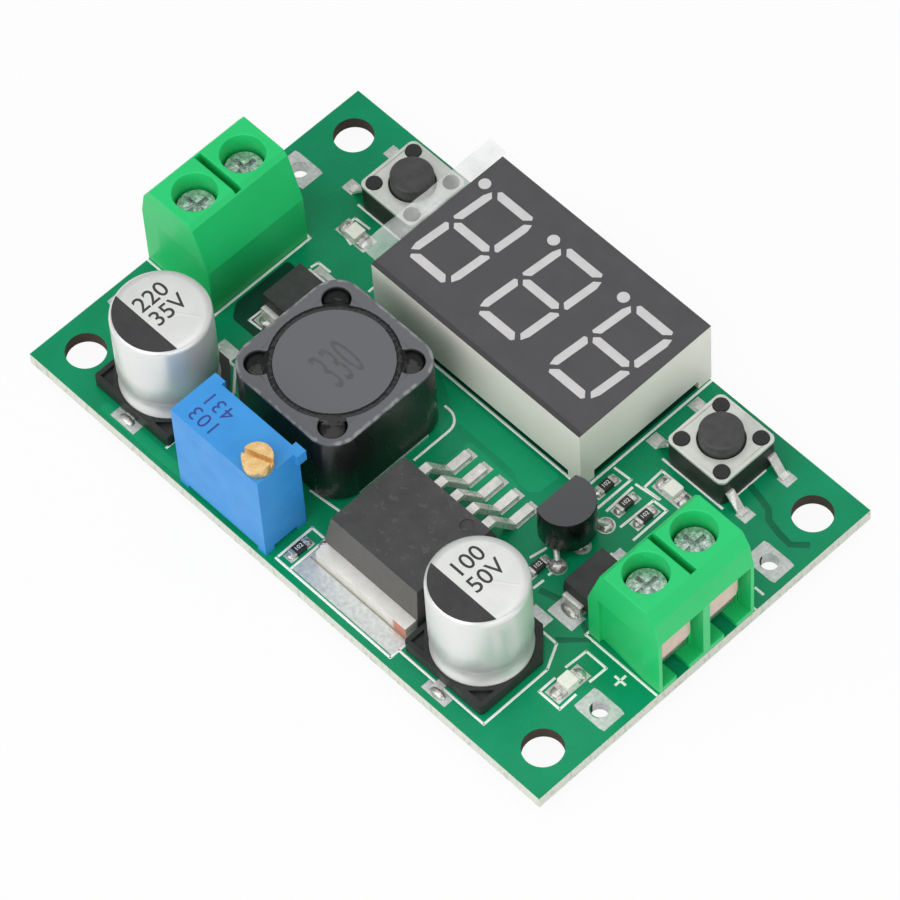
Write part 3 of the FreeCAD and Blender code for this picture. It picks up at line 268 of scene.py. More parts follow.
def boardFinish():
    # glossy green solder mask on a glass laminate, whose sawn edge shows cream
    mask = mottled("greenSolderMask", ("#048B5C", "#079465"), 4.0, 0.27, relief=0.002,
                   reliefGrain=0.5, sockets=maskSockets)
    tree = mask.node_tree
    side = between(tree, calculate(tree, "ABSOLUTE", facing(tree, "Z")), 0.75, 0.65)
    paintOver(mask, side, "#DADDD2", roughness=0.85)
    # bits of mask and glass torn along the edge, about 0.4 mm long
    torn = wander(tree, 0.4, 0.0, 1.0, stretch=(1, 1, 0.4))
    bits = calculate(tree, "MULTIPLY", (torn, 0), side)
    paintOver(mask, between(tree, bits, 0.62, 0.95), "#C6C9B8")
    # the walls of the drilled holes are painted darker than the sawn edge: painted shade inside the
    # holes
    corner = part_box("circuit_board")[1]
    rim = 0.1 * mm
    inside = []
    for axis, edge in (("X", corner.x), ("Y", corner.y)):
        reach = calculate(tree, "ABSOLUTE", place(tree, axis))
        inside.append(between(tree, reach, edge - rim, edge - 1.5 * rim))
    paintedHoleShade = calculate(tree, "MULTIPLY", calculate(tree, "MULTIPLY", *inside), side)
    paintOver(mask, paintedHoleShade, "#4C423A", roughness=0.8)
    return mask


def displayFinish():
    # milky shell, printed dark grey on its face only
    glow = {"Subsurface Weight": 0.15, "Subsurface Radius": (0.6 * mm, 0.6 * mm, 0.5 * mm)}
    shell = mottled("milkyDisplayShell", ("#EFEEE4", "#F4F4EB"), 5.0, 0.5, sockets=glow)
    tree = shell.node_tree
    # the print turns 0.07 mm down over the edge
    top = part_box("display_housing")[1].z
    face = between(tree, place(tree, "Z"), top - 0.08 * mm, top - 0.06 * mm)
    paintOver(shell, face, "#3C3A3E", roughness=0.5)
    return shell


def ferriteFinish():
    # pressed ferrite: ground grey on top, near black and shinier on its sides, and rubbed pale
    # along its top edge
    ferrite = mottled("blackFerrite", ("#171918", "#202221"), 3.0, 0.3, relief=0.004,
                      reliefGrain=0.2)
    tree = ferrite.node_tree
    low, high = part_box("coil_shield")
    ground = between(tree, place(tree, "Z"), high.z - 0.3 * mm, high.z - 0.05 * mm)
    paintOver(ferrite, ground, "#616366", roughness=0.5)
    # how far a spot is from the middle of its corner's arc
    cornerRadius = 2.4 * mm
    arm = (high.x - low.x) / 2 - cornerRadius
    spot = addNode(tree, "ShaderNodeTexCoord")
    fromMiddle = addNode(tree, "ShaderNodeVectorMath", {0: (spot, "Object"), 1: (low + high) / 2},
                         operation="SUBTRACT")
    unsigned = addNode(tree, "ShaderNodeVectorMath", {0: (fromMiddle, 0)}, operation="ABSOLUTE")
    beyond = addNode(tree, "ShaderNodeVectorMath", {0: (unsigned, 0), 1: (arm, arm, 1.0)},
                     operation="SUBTRACT")
    cornered = addNode(tree, "ShaderNodeVectorMath", {0: (beyond, 0), 1: (0, 0, 0)},
                       operation="MAXIMUM")
    reach = addNode(tree, "ShaderNodeVectorMath", {0: (cornered, 0)}, operation="LENGTH")
    rim = between(tree, (reach, "Value"), cornerRadius - 0.4 * mm, cornerRadius - 0.15 * mm)
    rubbed = wander(tree, 0.7, 0.0, 1.0)
    wear = calculate(tree, "MULTIPLY", rim, (rubbed, 0))
    onTop = calculate(tree, "MULTIPLY", wear, ground)
    paintOver(ferrite, between(tree, onTop, 0.25, 0.8), "#8B8D8E", roughness=0.55)
    return ferrite


def regulatorFinish():
    # fine-gritted moulding compound with pale scuffs, and its sloped front painted paler as painted
    # light from the front lamp
    compound = mottled("darkMouldingCompound", ("#3E3E3F", "#464646"), 1.6, 0.55, relief=0.008,
                       reliefGrain=0.12)
    tree = compound.node_tree
    scuffs = wander(tree, 0.5, 0.0, 1.0)
    paintOver(compound, between(tree, (scuffs, 0), 0.8, 1.0), "#4F4F4F")
    # painted light: the slope that faces the front lamp is painted paler
    litSlope = between(tree, facing(tree, "Y"), -0.15, -0.3)
    upward = between(tree, facing(tree, "Z"), 0.1, 0.2)
    front = calculate(tree, "MULTIPLY", litSlope, upward)
    paintOver(compound, front, "#6B6864", roughness=0.6)
    return compound


def referenceFinish():
    # the small part's moulding is polished black round its sides and matt grey on top
    compound = mottled("polishedBlackMoulding", ("#101110", "#171817"), 1.5, 0.27, relief=0.004)
    top = between(compound.node_tree, facing(compound.node_tree, "Z"), 0.6, 0.9)
    paintOver(compound, top, "#4B4B4E", roughness=0.5)
    return compound


def tabFinish():
    # tinned copper, bare copper where the tab was cut from its strip
    tab = mottled("tinnedCopperTab", ("#E9E6E0", "#F4F2EC"), 1.5, 0.36, metallic=0.4,
                  relief=0.004, reliefGrain=0.4)
    tree = tab.node_tree
    front = between(tree, facing(tree, "Y"), -0.6, -0.8)
    # the cut lies at the right-hand end of the front face
    cut = 9.7 * mm
    end = between(tree, place(tree, "X"), cut, cut + 0.25 * mm)
    paintOver(tab, calculate(tree, "MULTIPLY", front, end), "#D98F76", roughness=0.45)
    return tab


def clearFilm():
    # thin protective film: clear where it lies on the face, milky where its free end hangs over
    film = mottled("protectiveFilm", ("#D5DBD8", "#F2F3F2"), 1.6, 0.2)
    tree = film.node_tree
    shader = next(node for node in tree.nodes if node.type == "BSDF_PRINCIPLED")
    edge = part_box("display_housing")[0].x
    hanging = between(tree, place(tree, "X"), edge + 0.05 * mm, edge - 0.05 * mm)
    haze = wander(tree, 1.8, 0.16, 0.34)
    # how solid the film is: next to nothing on the face, and the haze beyond it
    alpha = addNode(tree, "ShaderNodeMix", {0: hanging, 2: 0.02, 3: (haze, 0)})
    tree.links.new(alpha.outputs[0], shader.inputs["Alpha"])
    return film


soft = {"Specular IOR Level": 0.3, "Subsurface Weight": 0.05,
        "Subsurface Radius": (0.3 * mm, 0.6 * mm, 0.3 * mm)}
milky = {"Subsurface Weight": 0.3, "Subsurface Radius": (0.3 * mm, 0.3 * mm, 0.3 * mm)}
# a finish for each kind of surface, under the name that the pieces use
finish = {
    "board": boardFinish(),
    # the mask over copper looks a little lighter
    "maskOnCopper": mottled("maskOverCopper", ("#069A66", "#0AA26D"), 5.0, 0.27, relief=0.002,
                            reliefGrain=0.5, sockets=maskSockets),
    # the mask over bare laminate looks darker
    "maskOnLaminate": mottled("maskOverLaminate", ("#046A48", "#07724F"), 5.0, 0.3,
                              sockets=maskSockets),
    # a nearly black tone for a patch beside the diode, and painted shade on the board along the
    # display's front and right-hand edges, where the gap under it lies in shadow
    "darkPatchAndShade": mottled("darkPatchAndPaintedShade", ("#0A3F30", "#0D4836"), 3.0, 0.35,
                            sockets=maskSockets),
    # white screen printing ink, slightly uneven
    "ink": mottled("whiteScreenInk", ("#FAFBF8", "#EEF1EC"), 0.6, 0.55),
    # pads levelled with hot tin: pale, softly bright, a little wavy
    "tin": mottled("hotTinPad", ("#DADDDB", "#C2C6C4"), 0.35, 0.34, metallic=0.4, relief=0.01,
                   reliefGrain=0.4),
    # solder that has flowed: bright with dark reflections
    "solder": mottled("flowedSolder", ("#E2E0DC", "#B9B7B3"), 0.35, 0.24, metallic=0.75,
                      relief=0.02, reliefGrain=0.4),
    # moulded polyamide: bright, even green with a satin skin
    "green": mottled("greenPolyamide", ("#20C66E", "#26CC74"), 6.0, 0.38, relief=0.002,
                     reliefGrain=0.4, sockets=soft),
    # zinc plated steel: bluish silver with a crystalline mottle
    "zinc": mottled("zincPlatedSteel", ("#E2EAE7", "#9AA8A5"), 0.35, 0.26, spread=0.1, metallic=0.7,
                    relief=0.015),
    # tinned bronze leaf: warm and dull
    "leaf": mottled("tinnedBronzeLeaf", ("#E6CDBF", "#D9BFB0"), 0.8, 0.4, metallic=0.35),
    # folded clamp of tinned brass: grey and softly bright
    "clamp": mottled("tinnedBrassClamp", ("#C9C7C0", "#AFADA6"), 0.8, 0.35, metallic=0.8),
    "display": displayFinish(),
    # cast resin of the light bars: pale, milky, smooth
    "bars": mottled("milkyCastResin", ("#C9C7C8", "#D0CECE"), 1.2, 0.35),
    "film": clearFilm(),
    # moulded nylon: black and matt, with a fine spark-eroded grain
    "nylon": mottled("blackNylon", ("#202221", "#292B2A"), 1.5, 0.5, relief=0.004,
                     reliefGrain=0.15),
    # moulded plunger, worn a little grey
    "button": mottled("greyBlackButton", ("#3B3C3B", "#464746"), 0.8, 0.52, relief=0.006,
                      reliefGrain=0.2),
    # pressed steel cover: pale and brushed dull
    "steel": mottled("pressedSteelCover", ("#E4E6E0", "#D3D6D0"), 1.8, 0.36, metallic=0.45,
                     relief=0.003, reliefGrain=0.15),
    # rolled spring steel of the snap domes: grey and bright
    "spring": mottled("springSteel", ("#B5B5B2", "#A5A5A2"), 1.0, 0.3, metallic=0.9),
    # moulded thermoset: matt blue, faintly grained
    "blue": mottled("blueTrimmerPlastic", ("#2F8FDA", "#3797E0"), 2.5, 0.48, relief=0.006,
                    reliefGrain=0.35),
    # turned brass: warm and bright
    "brass": mottled("turnedBrass", ("#F2CE90", "#E4B876"), 0.5, 0.26, metallic=0.5, relief=0.006,
                     reliefGrain=0.2),
    "ferrite": ferriteFinish(),
    # black potting glue: glossy, with slow waves
    "glue": mottled("blackPottingGlue", ("#0D0E0E", "#171818"), 0.8, 0.2, relief=0.02,
                    reliefGrain=0.9),
    # enamelled copper wire: reddish brown and shiny
    "enamel": mottled("enamelledCopper", ("#8A4A22", "#A25A2C"), 0.5, 0.3, metallic=0.7),
    # drawn aluminium: satin, nearly white, with its grain drawn out upwards
    "can": mottled("satinAluminium", ("#E9EAE8", "#E1E3E0"), 2.5, 0.34, metallic=0.45, relief=0.002,
                   reliefGrain=0.25, stretch=(1, 1, 0.15)),
    # ink printed on the cans: soft black
    "blackInk": mottled("blackCanInk", ("#333234", "#3A393B"), 0.8, 0.5),
    "epoxy": regulatorFinish(),
    "reference": referenceFinish(),
    # moulded epoxy of the small packages: dark grey and fine-gritted
    "smallEpoxy": mottled("blackMouldingCompound", ("#2E2F2F", "#3A3B3B"), 1.2, 0.5, relief=0.006,
                          reliefGrain=0.12),
    "tab": tabFinish(),
    # tinned leads: bright and smooth
    "lead": mottled("tinnedLead", ("#EDECE8", "#D6D5D1"), 0.8, 0.3, metallic=0.5, relief=0.003),
    # glazed ceramic of the chip resistors: black with a soft gloss
    "chip": mottled("glazedResistor", ("#232425", "#2D2E2F"), 0.4, 0.35),
    # cast lens of an indicator lamp: milky, nearly white
    "lamp": mottled("milkyLampResin", ("#FBF5EE", "#EDEFE4"), 0.4, 0.3, sockets=milky),
    # stamped inks: navy on the trimmer, a faint grey on the coil
    "navyInk": mottled("navyInk", ("#2B3E8C", "#34489A"), 0.3, 0.6),
    "greyInk": mottled("faintGreyPrint", ("#4E5052", "#595B5D"), 0.4, 0.55),
    # flux left brown along the foot of the tab
    "flux": mottled("brownFluxLine", ("#8C8574", "#A39C8A"), 0.5, 0.4),
}
print("finishes made:", len(finish))


rounded = {
    # corners of the CAD mesh that lie closer than this, in mm, become one
    "weld": 0.0005,
    "steps": 2,
    # edges that turn by more degrees than this are rounded
    "turn": 35,
    "polyamideTurn": 60,
}


def dress(key, edge, *names):
    # a finish on CAD nodes, with their sharp edges rounded by so many mm
    turn = rounded["polyamideTurn" if key == "green" else "turn"]
    for name in names:
        node = nodes[name]
        for slot in node.material_slots:
            slot.material = finish[key]
        if edge:
            weld = node.modifiers.new("weld", "WELD")
            weld.merge_threshold = rounded["weld"] * mm
            rounding = node.modifiers.new("edges", "BEVEL")
            rounding.width = edge * mm
            rounding.segments = rounded["steps"]
            rounding.limit_method = "ANGLE"
            rounding.angle_limit = math.radians(turn)
            rounding.harden_normals = True
            rounding.use_clamp_overlap = True


ends = ("input", "output")
poles = [end + side for end in ends for side in ("_rear", "_front")]
hands = ("right", "left")
dress("board", 0, "circuit_board")
dress("solder", 0, "solder_joints")
dress("green", 0.1, *[end + "_terminal_housing" for end in ends])
dress("clamp", 0.05, *[pole + "_clamp_frame" for pole in poles])
dress("leaf", 0.05, *[pole + "_pressure_leaf" for pole in poles])
dress("zinc", 0.06, *[pole + "_clamping_screw" for pole in poles])
dress("display", 0, "display_housing")
dress("bars", 0, "display_light_bars")
dress("lead", 0.03, "display_pins", "trimmer_pins", "reference_leads")
dress("nylon", 0.05, *[hand + "_switch_base" for hand in hands])
dress("steel", 0.04, *[hand + "_switch_cover" for hand in hands])
dress("button", 0.12, *[hand + "_switch_button" for hand in hands])
dress("lead", 0.03, *[hand + "_switch_legs" for hand in hands])
dress("blue", 0.08, "trimmer_case")
dress("brass", 0.07, "trimmer_screw")
dress("ferrite", 0.2, "coil_shield")
dress("ferrite", 0.12, "coil_core")
dress("enamel", 0, "coil_winding")
dress("lead", 0.03, "coil_terminals", "output_capacitor_leads", "input_capacitor_leads")
dress("nylon", 0.08, "output_capacitor_base", "input_capacitor_base")
dress("epoxy", 0.06, "regulator_body")
dress("tab", 0.05, "regulator_tab")
dress("lead", 0.06, "regulator_leads")
dress("smallEpoxy", 0.05, "output_diode_body", "input_diode_body", "controller_body")
dress("reference", 0.1, "reference_body")
dress("lead", 0.04, "output_diode_leads", "input_diode_leads", "controller_leads")
dress("chip", 0.03, "chip_resistor_bodies")
dress("solder", 0.06, "chip_resistor_ends", "indicator_lamp_ends")
dress("lamp", 0.08, "indicator_lamp_bodies")
print("CAD nodes dressed")


# screen printing on the board

silk = {
    "width": 0.22,
    "height": 0.045,
    # how far each run passes its ends, as a share of its width
    "overrun": 0.35,
    # outlines of the parts, in mm from the middle of the board
    "lines": [
        [(-11.5, 3.68), (11.25, 3.68), (11.25, 17.45)],
        [(11.6, 6.7), (13.2, 6.8), (13.2, 3.3)],
        [(13.76, 6.35), (13.86, 3.58)],
        [(13.78, 6.78), (15.9, 7.05)],
        [(15.62, 3.31), (15.72, 6.69), (17.09, 6.75), (17.13, 3.18)],
        [(15.98, 7.1), (14.4, 7.0), (14.3, 9.03), (15.98, 9.04)],
        [(13.65, 9.83), (19.92, 9.83)],
        [(19.85, 11.5), (19.85, 14.5)],
        [(-19.95, 9.9), (-14.0, 9.9)],
        [(12.7, -3.35), (12.95, -1.98)],
        [(14.77, -3.46), (14.79, -2.64)],
        [(14.78, -5.05), (14.83, -4.15)],
        [(17.05, -2.19), (17.05, -4.38), (19.3, -4.44)],
        [(17.88, -7.27), (19.46, -7.27), (20.56, -9.33), (20.56, -15.9), (11.3, -15.9)],
        [(-16.58, -7.18), (-15.79, -7.18), (-14.1, -8.9), (-14.1, -15.9)],
        [(-3.4, -10.85), (-0.26, -10.55)],
        [(-0.93, -16.55), (-0.93, -13.05), (0.3, -13.05)],
        [(-0.93, -16.8), (11.5, -16.8), (11.5, -15.3)],
        [(0.55, -16.7), (0.55, -13.1)],
        [(-27.9, -5.14), (-20.4, -5.14), (-20.4, 5.1), (-27.9, 5.1)],
        [(27.9, -5.2), (20.45, -5.2), (20.45, 5.2), (27.9, 5.2)],
        [(21.49, -9.5), (21.49, -11.07), (23.65, -11.07), (23.6, -9.41)],
        [(21.4, -8.2), (21.5, -6.18), (23.6, -6.18), (23.55, -7.83)],
        [(-18.1, -1.6), (-18.16, -3.49), (-16.9, -3.42)],
        [(-18.35, 3.3), (-18.23, 3.95), (-16.99, 3.98)],
        [(-17.75, 8.94), (-19.25, 8.85), (-19.25, 7.3), (-17.7, 6.9)],
        [(-13.48, 4.85), (-13.49, 5.5), (-13.0, 5.47)],
        # plus and minus signs at the wire pads
        [(24.6, -6.2), (25.6, -6.2)],
        [(25.1, -6.7), (25.1, -5.7)],
        [(26.6, 6.55), (27.4, 6.55)],
        [(-25.6, 6.9), (-24.8, 6.9)],
        [(-25.6, -7.0), (-24.8, -7.0)],
        [(-25.2, -7.4), (-25.2, -6.6)],
    ],
    # the line round the coil turns its right-hand corner on an arc
    "coilCorner": {"centre": (-1.17, 0.25), "radius": 1.35, "low": -3.5, "left": -1.7, "steps": 6},
}


def drawLines(name, runs, width, height, level, finishKey):
    # each straight run is a flattened round bead, so corners stay full
    curve = bpy.data.curves.new(name, "CURVE")
    curve.dimensions = "3D"
    curve.bevel_depth = width / 2 * mm
    curve.bevel_resolution = 1
    curve.use_fill_caps = True
    for run in runs:
        spline = curve.splines.new("POLY")
        spline.points.add(len(run) - 1)
        for point, (x, y) in zip(spline.points, run):
            point.co = (x * mm, y * mm, 0, 1)
    grab(linked(name, curve))
    bpy.ops.object.convert(target="MESH")
    piece = bpy.context.object
    piece.scale.z = height / (width / 2)
    piece.location.z = level * mm
    finishPiece(piece, name, finishKey)


def straightRuns(lines, width):
    # every line split into straight runs that pass both of their ends a little
    runs = []
    for line in lines:
        for start, end in zip(line, line[1:]):
            step = Vector(end) - Vector(start)
            step = step.normalized() * width * silk["overrun"]
            runs.append([tuple(Vector(start) - step), tuple(Vector(end) + step)])
    return runs


def makeSilk():
    runs = straightRuns(silk["lines"], silk["width"])
    corner = silk["coilCorner"]
    x, y = corner["centre"]
    radius = corner["radius"]
    turns = [math.radians(90 * step / corner["steps"]) for step in range(corner["steps"] + 1)]
    arc = [(x + radius * math.cos(turn), y + radius * math.sin(turn)) for turn in turns]
    runs.append([(x + radius, corner["low"])] + arc + [(corner["left"], y + radius)])
    drawLines("boardSilk", runs, silk["width"], silk["height"], boardTop, "ink")
    print("screen printing drawn:", len(runs), "runs")


makeSilk()


# copper under the mask

copper = {
    "height": 0.02,
    "darkPatchHeight": 0.01,
    "sink": 0.005,
    "rounding": 0.3,
    "roundingSteps": 4,
    # fields where the mask lies on copper, as outlines in mm
    "fields": [
        [(-3.8, 3.3), (-2.0, 2.3), (-0.1, 1.2), (6.2, 1.15), (7.3, 0.6), (8.5, 0.6), (9.1, 1.2),
         (9.2, 3.3)],
        [(2.0, -2.9), (7.6, -2.9), (7.6, 0.5), (2.0, 0.7)],
        [(-20.5, -17.1), (-1.6, -17.1), (-1.6, -16.2), (-20.5, -16.2)],
    ],
    # gaps between the fields, where the mask lies on bare laminate
    "gaps": [
        [(19.6, 12.8), (21.2, 12.5), (22.4, 12.2), (23.2, 11.5), (24.6, 11.2), (25.8, 11.1),
         (26.9, 12.1)],
        [(15.2, -4.9), (16.9, -4.4), (18.6, -4.2), (21.0, -5.3), (19.2, -7.1)],
    ],
    # dark patches: one beside the diode, and two strips of painted shade along the display's front
    # and right-hand edges
    "bare": [
        [(-20.1, 2.4), (-20.1, -3.1), (-19.2, -4.3), (-15.2, -4.3), (-15.2, 2.4)],
        # painted shade along the display's front edge
        [(-11.2, 3.85), (10.9, 3.85), (10.9, 4.7), (-11.2, 4.7)],
        # painted shade along the display's right-hand edge
        [(10.1, 4.7), (10.95, 4.7), (10.95, 17.2), (10.1, 17.2)],
    ],
    "gapWidth": 0.55,
    "gapHeight": 0.012,
}


def fieldPlate(outline, height):
    # a flat plate with its corners rounded, its foot sunk a little into the board
    level = boardTop - copper["sink"]
    plate, cage = emptyMesh()
    corners = [cage.verts.new((x * mm, y * mm, level * mm)) for x, y in outline]
    cage.faces.new(corners)
    bmesh.update_edit_mesh(plate.data)
    selectAll()
    bpy.ops.mesh.normals_make_consistent(inside=False)
    bpy.ops.mesh.bevel(offset=copper["rounding"] * mm, segments=copper["roundingSteps"],
                       affect="VERTICES")
    selectAll()
    bpy.ops.mesh.extrude_region_move(TRANSFORM_OT_translate={"value": (0, 0, height * mm)})
    closeUp()
    return plate


def makeCopper():
    for name, outlines, height, finishKey in (
            ("copperFields", copper["fields"], copper["height"], "maskOnCopper"),
            ("darkPatchAndShadeStrips", copper["bare"], copper["darkPatchHeight"], "darkPatchAndShade")):
        plates = [fieldPlate(outline, height) for outline in outlines]
        finishPiece(joined(plates), name, finishKey)
    for number, gap in enumerate(copper["gaps"]):
        drawLines("copperGap" + str(number), [gap], copper["gapWidth"], copper["gapHeight"],
                  boardTop, "maskOnLaminate")
    print("copper fields laid:", len(copper["fields"]))


makeCopper()


# tinned pads, each a thin plate with softened edges

pads = {
    "height": 0.035,
    "rounding": 0.06,
    # the middle of each plate stands a little above its edge
    "crown": 0.01,
    # (x, y, length along x, width along y): capacitors, tab, diodes, lamps
    "plain": [
        (-18.1, -16.4, 2.6, 1.0), (16.2, -16.5, 2.5, 0.9),
        (16.85, -6.5, 1.9, 1.1), (-17.3, -6.6, 1.9, 1.2),
        (6.08, -14.9, 10.75, 3.4),
        (-16.78, -2.62, 2.3, 1.3), (-16.78, 3.0, 2.4, 1.6),
        (18.2, -5.0, 2.6, 1.5), (18.2, 1.2, 2.6, 1.5),
        (16.35, 8.2, 3.2, 1.5), (-18.0, 7.75, 3.2, 1.5), (22.56, -9.14, 1.5, 3.4),
    ],
    "switchPads": {"reach": 4.75, "spread": 2.25, "long": 1.1, "wide": 1.15},
    "chipPads": {"step": 0.85, "long": 0.75, "wide": 0.95},
    "leadPads": {"first": 2.88, "pitch": 1.7, "count": 5, "y": -1.05, "wide": 1.05, "long": 2.45},
    "roundPads": {"radius": 0.75, "hole": 0.3,
                  "places": [(14.75, -2.49), (14.75, 0.05), (14.75, 2.59)]},
    "wirePads": {"long": 3.15, "wide": 2.3, "hole": 0.75, "narrowed": 0.99,
                 "places": [(25.75, 8.9), (25.75, -9.05), (-25.75, 8.95), (-25.75, -8.95)]},
    "ringSteps": 32,
}
# middles of the switches and of the chip resistors
switches = {"right": (16.83, 12.87), "left": (-16.85, 12.95)}
chips = [(12.31, 5.03), (14.52, 4.95), (16.36, 5.14), (13.76, -3.61), (-0.2, -15.1)]


def flatPad(x, y, long, wide):
    # a plate with its top edge bevelled off
    height = pads["height"]
    middle = (x * mm, y * mm, (boardTop + height / 2) * mm)
    bpy.ops.mesh.primitive_cube_add(size=1, location=middle,
                                    scale=(long * mm, wide * mm, height * mm))
    plate = settle(bpy.context.object)
    cage = editMode(plate)
    for face in cage.faces:
        face.select_set(face.normal.z > 0.9)
    bmesh.update_edit_mesh(plate.data)
    bpy.ops.mesh.inset(thickness=pads["rounding"] * mm)
    bpy.ops.transform.translate(value=(0, 0, pads["crown"] * mm))
    objectMode()
    return plate


def ringPad(x, y, radius, hole):
    # a round pad with its hole
    middle = (x * mm, y * mm, boardTop * mm)
    bpy.ops.mesh.primitive_circle_add(vertices=pads["ringSteps"], radius=hole * mm, location=middle)
    ring = settle(bpy.context.object)
    grab(ring)
    bpy.ops.object.mode_set(mode="EDIT")
    selectAll()
    bpy.ops.mesh.extrude_edges_move(TRANSFORM_OT_translate={"value": (0, 0, pads["height"] * mm)})
    grow = radius / hole
    bpy.ops.mesh.extrude_edges_move()
    bpy.ops.transform.resize(value=(grow, grow, 1), center_override=middle)
    bpy.ops.mesh.extrude_edges_move(TRANSFORM_OT_translate={"value": (0, 0, -pads["height"] * mm)})
    closeUp()
    return ring


def wirePad(x, y):
    # a square pad round a plated hole, with the plating turned down into it
    wire = pads["wirePads"]
    hole = ringPad(x, y, wire["wide"] / 2, wire["hole"])
    cage = editMode(hole)
    half = Vector((wire["long"] / 2, wire["wide"] / 2))
    tiny = 1e-6
    for vertex in cage.verts:
        arm = Vector((vertex.co.x / mm - x, vertex.co.y / mm - y))
        if arm.length > wire["hole"] * 1.1:
            # the outer edge goes out to the sides of a square
            stretch = min(half.x / max(abs(arm.x), tiny), half.y / max(abs(arm.y), tiny))
        elif vertex.co.z < (boardTop + pads["height"] / 2) * mm:
            # the lower edge of the hole goes down to the underside, a little inwards
            stretch = wire["narrowed"]
            vertex.co.z = boardUnder * mm
        else:
            continue
        vertex.co.x = (x + arm.x * stretch) * mm
        vertex.co.y = (y + arm.y * stretch) * mm
    bmesh.update_edit_mesh(hole.data)
    objectMode()
    return hole


def makePads():
    made = [flatPad(*pad) for pad in pads["plain"]]
    feet = pads["switchPads"]
    for x, y in switches.values():
        for side in (-1, 1):
            for row in (-1, 1):
                made.append(flatPad(x + side * feet["reach"], y + row * feet["spread"],
                                    feet["long"], feet["wide"]))
    chip = pads["chipPads"]
    for x, y in chips:
        for side in (-1, 1):
            made.append(flatPad(x, y + side * chip["step"], chip["wide"], chip["long"]))
    lead = pads["leadPads"]
    for step in range(lead["count"]):
        made.append(flatPad(lead["first"] + step * lead["pitch"], lead["y"], lead["wide"],
                            lead["long"]))
    rings = pads["roundPads"]
    made += [ringPad(x, y, rings["radius"], rings["hole"]) for x, y in rings["places"]]
    made += [wirePad(x, y) for x, y in pads["wirePads"]["places"]]
    finishPiece(joined(made), "tinnedPads", "tin", smooth=25)
    print("pads laid:", len(made))


makePads()


# flowed solder

solder = {
    # (x, y, length along x, width along y, height)
    "mounds": [
        (14.75, -2.49, 1.5, 1.5, 0.6), (14.75, 0.05, 1.2, 1.2, 0.5), (14.75, 2.59, 1.3, 1.3, 0.35),
        (-18.1, -16.35, 1.5, 0.8, 0.35), (16.3, -16.5, 1.6, 0.8, 0.45),
        (-16.8, -2.8, 1.9, 1.0, 0.5), (-16.8, 2.8, 1.9, 1.0, 0.45),
        (18.2, -4.6, 1.9, 1.0, 0.45), (18.2, 0.8, 1.9, 1.0, 0.45),
        (17.45, 8.2, 1.0, 1.2, 0.4), (15.15, 8.2, 1.0, 1.2, 0.4),
        (-16.85, 7.7, 1.0, 1.2, 0.4), (-19.15, 7.7, 1.0, 1.2, 0.4),
        (22.56, -10.3, 1.2, 1.1, 0.4), (22.56, -7.98, 1.2, 1.0, 0.4),
        (0.9, -13.6, 0.8, 0.9, 0.5),
    ],
    "chipEnd": {"step": 0.88, "long": 0.8, "wide": 0.62, "height": 0.32},
    "leadToe": {"y": -0.45, "wide": 0.95, "long": 0.7, "height": 0.3},
    # each mound is cut off just above the board, and left lumpy from a little higher up
    "cut": 0.01,
    "lumpyFrom": 0.05,
    "uneven": 0.05,
    # faces round each mound and from its top to its foot
    "around": 20,
    "rings": 12,
    "flux": {"line": [(0.85, -14.93), (11.1, -14.93)], "width": 0.14, "height": 0.02,
             "lift": 0.01},
}


def solderMound(x, y, long, wide, height, seed):
    # half a ball flattened on the pad and left lumpy
    bpy.ops.mesh.primitive_uv_sphere_add(segments=solder["around"], radius=1,
                                         ring_count=solder["rings"],
                                         location=(x * mm, y * mm, boardTop * mm),
                                         scale=(long / 2 * mm, wide / 2 * mm, height * mm))
    mound = settle(bpy.context.object)
    editMode(mound)
    selectAll()
    bpy.ops.mesh.bisect(plane_co=(0, 0, (boardTop + solder["cut"]) * mm), plane_no=(0, 0, 1),
                        clear_inner=True, use_fill=True)
    cage = bmesh.from_edit_mesh(mound.data)
    for vertex in cage.verts:
        vertex.select_set(vertex.co.z > (boardTop + solder["lumpyFrom"]) * mm)
    cage.select_flush_mode()
    bmesh.update_edit_mesh(mound.data)
    bpy.ops.transform.vertex_random(offset=solder["uneven"] * mm, normal=0.5, seed=seed)
    objectMode()
    return mound


def makeSolder():
    flux = solder["flux"]
    drawLines("tabFluxLine", [flux["line"]], flux["width"], flux["height"],
              boardTop + pads["height"] + flux["lift"], "flux")
    places = list(solder["mounds"])
    end = solder["chipEnd"]
    for x, y in chips:
        for side in (-1, 1):
            places.append((x, y + side * end["step"], end["long"], end["wide"],
                           end["height"]))
    toe, lead = solder["leadToe"], pads["leadPads"]
    for step in range(lead["count"]):
        places.append((lead["first"] + step * lead["pitch"], toe["y"], toe["wide"], toe["long"],
                       toe["height"]))
    made = [solderMound(*spot, seed) for seed, spot in enumerate(places)]
    piece = joined(made)
    applyModifier(piece, "SUBSURF", levels=1, render_levels=1)
    finishPiece(piece, "flowedSolder", "solder", smooth=80)
    print("solder mounds:", len(made))


makeSolder()


# the clear protective film on the display, its free end a little creased

film = {
    "thickness": 0.04,
    "clearance": 0.02,
    # its size, as a share of the CAD film's
    "trim": 0.998,
    "cuts": 48,
    # creases in the free end: height, and how many run along and across
    "crease": 0.07,
    "waves": (2.1, 3.4),
    "curl": 0.12,
}


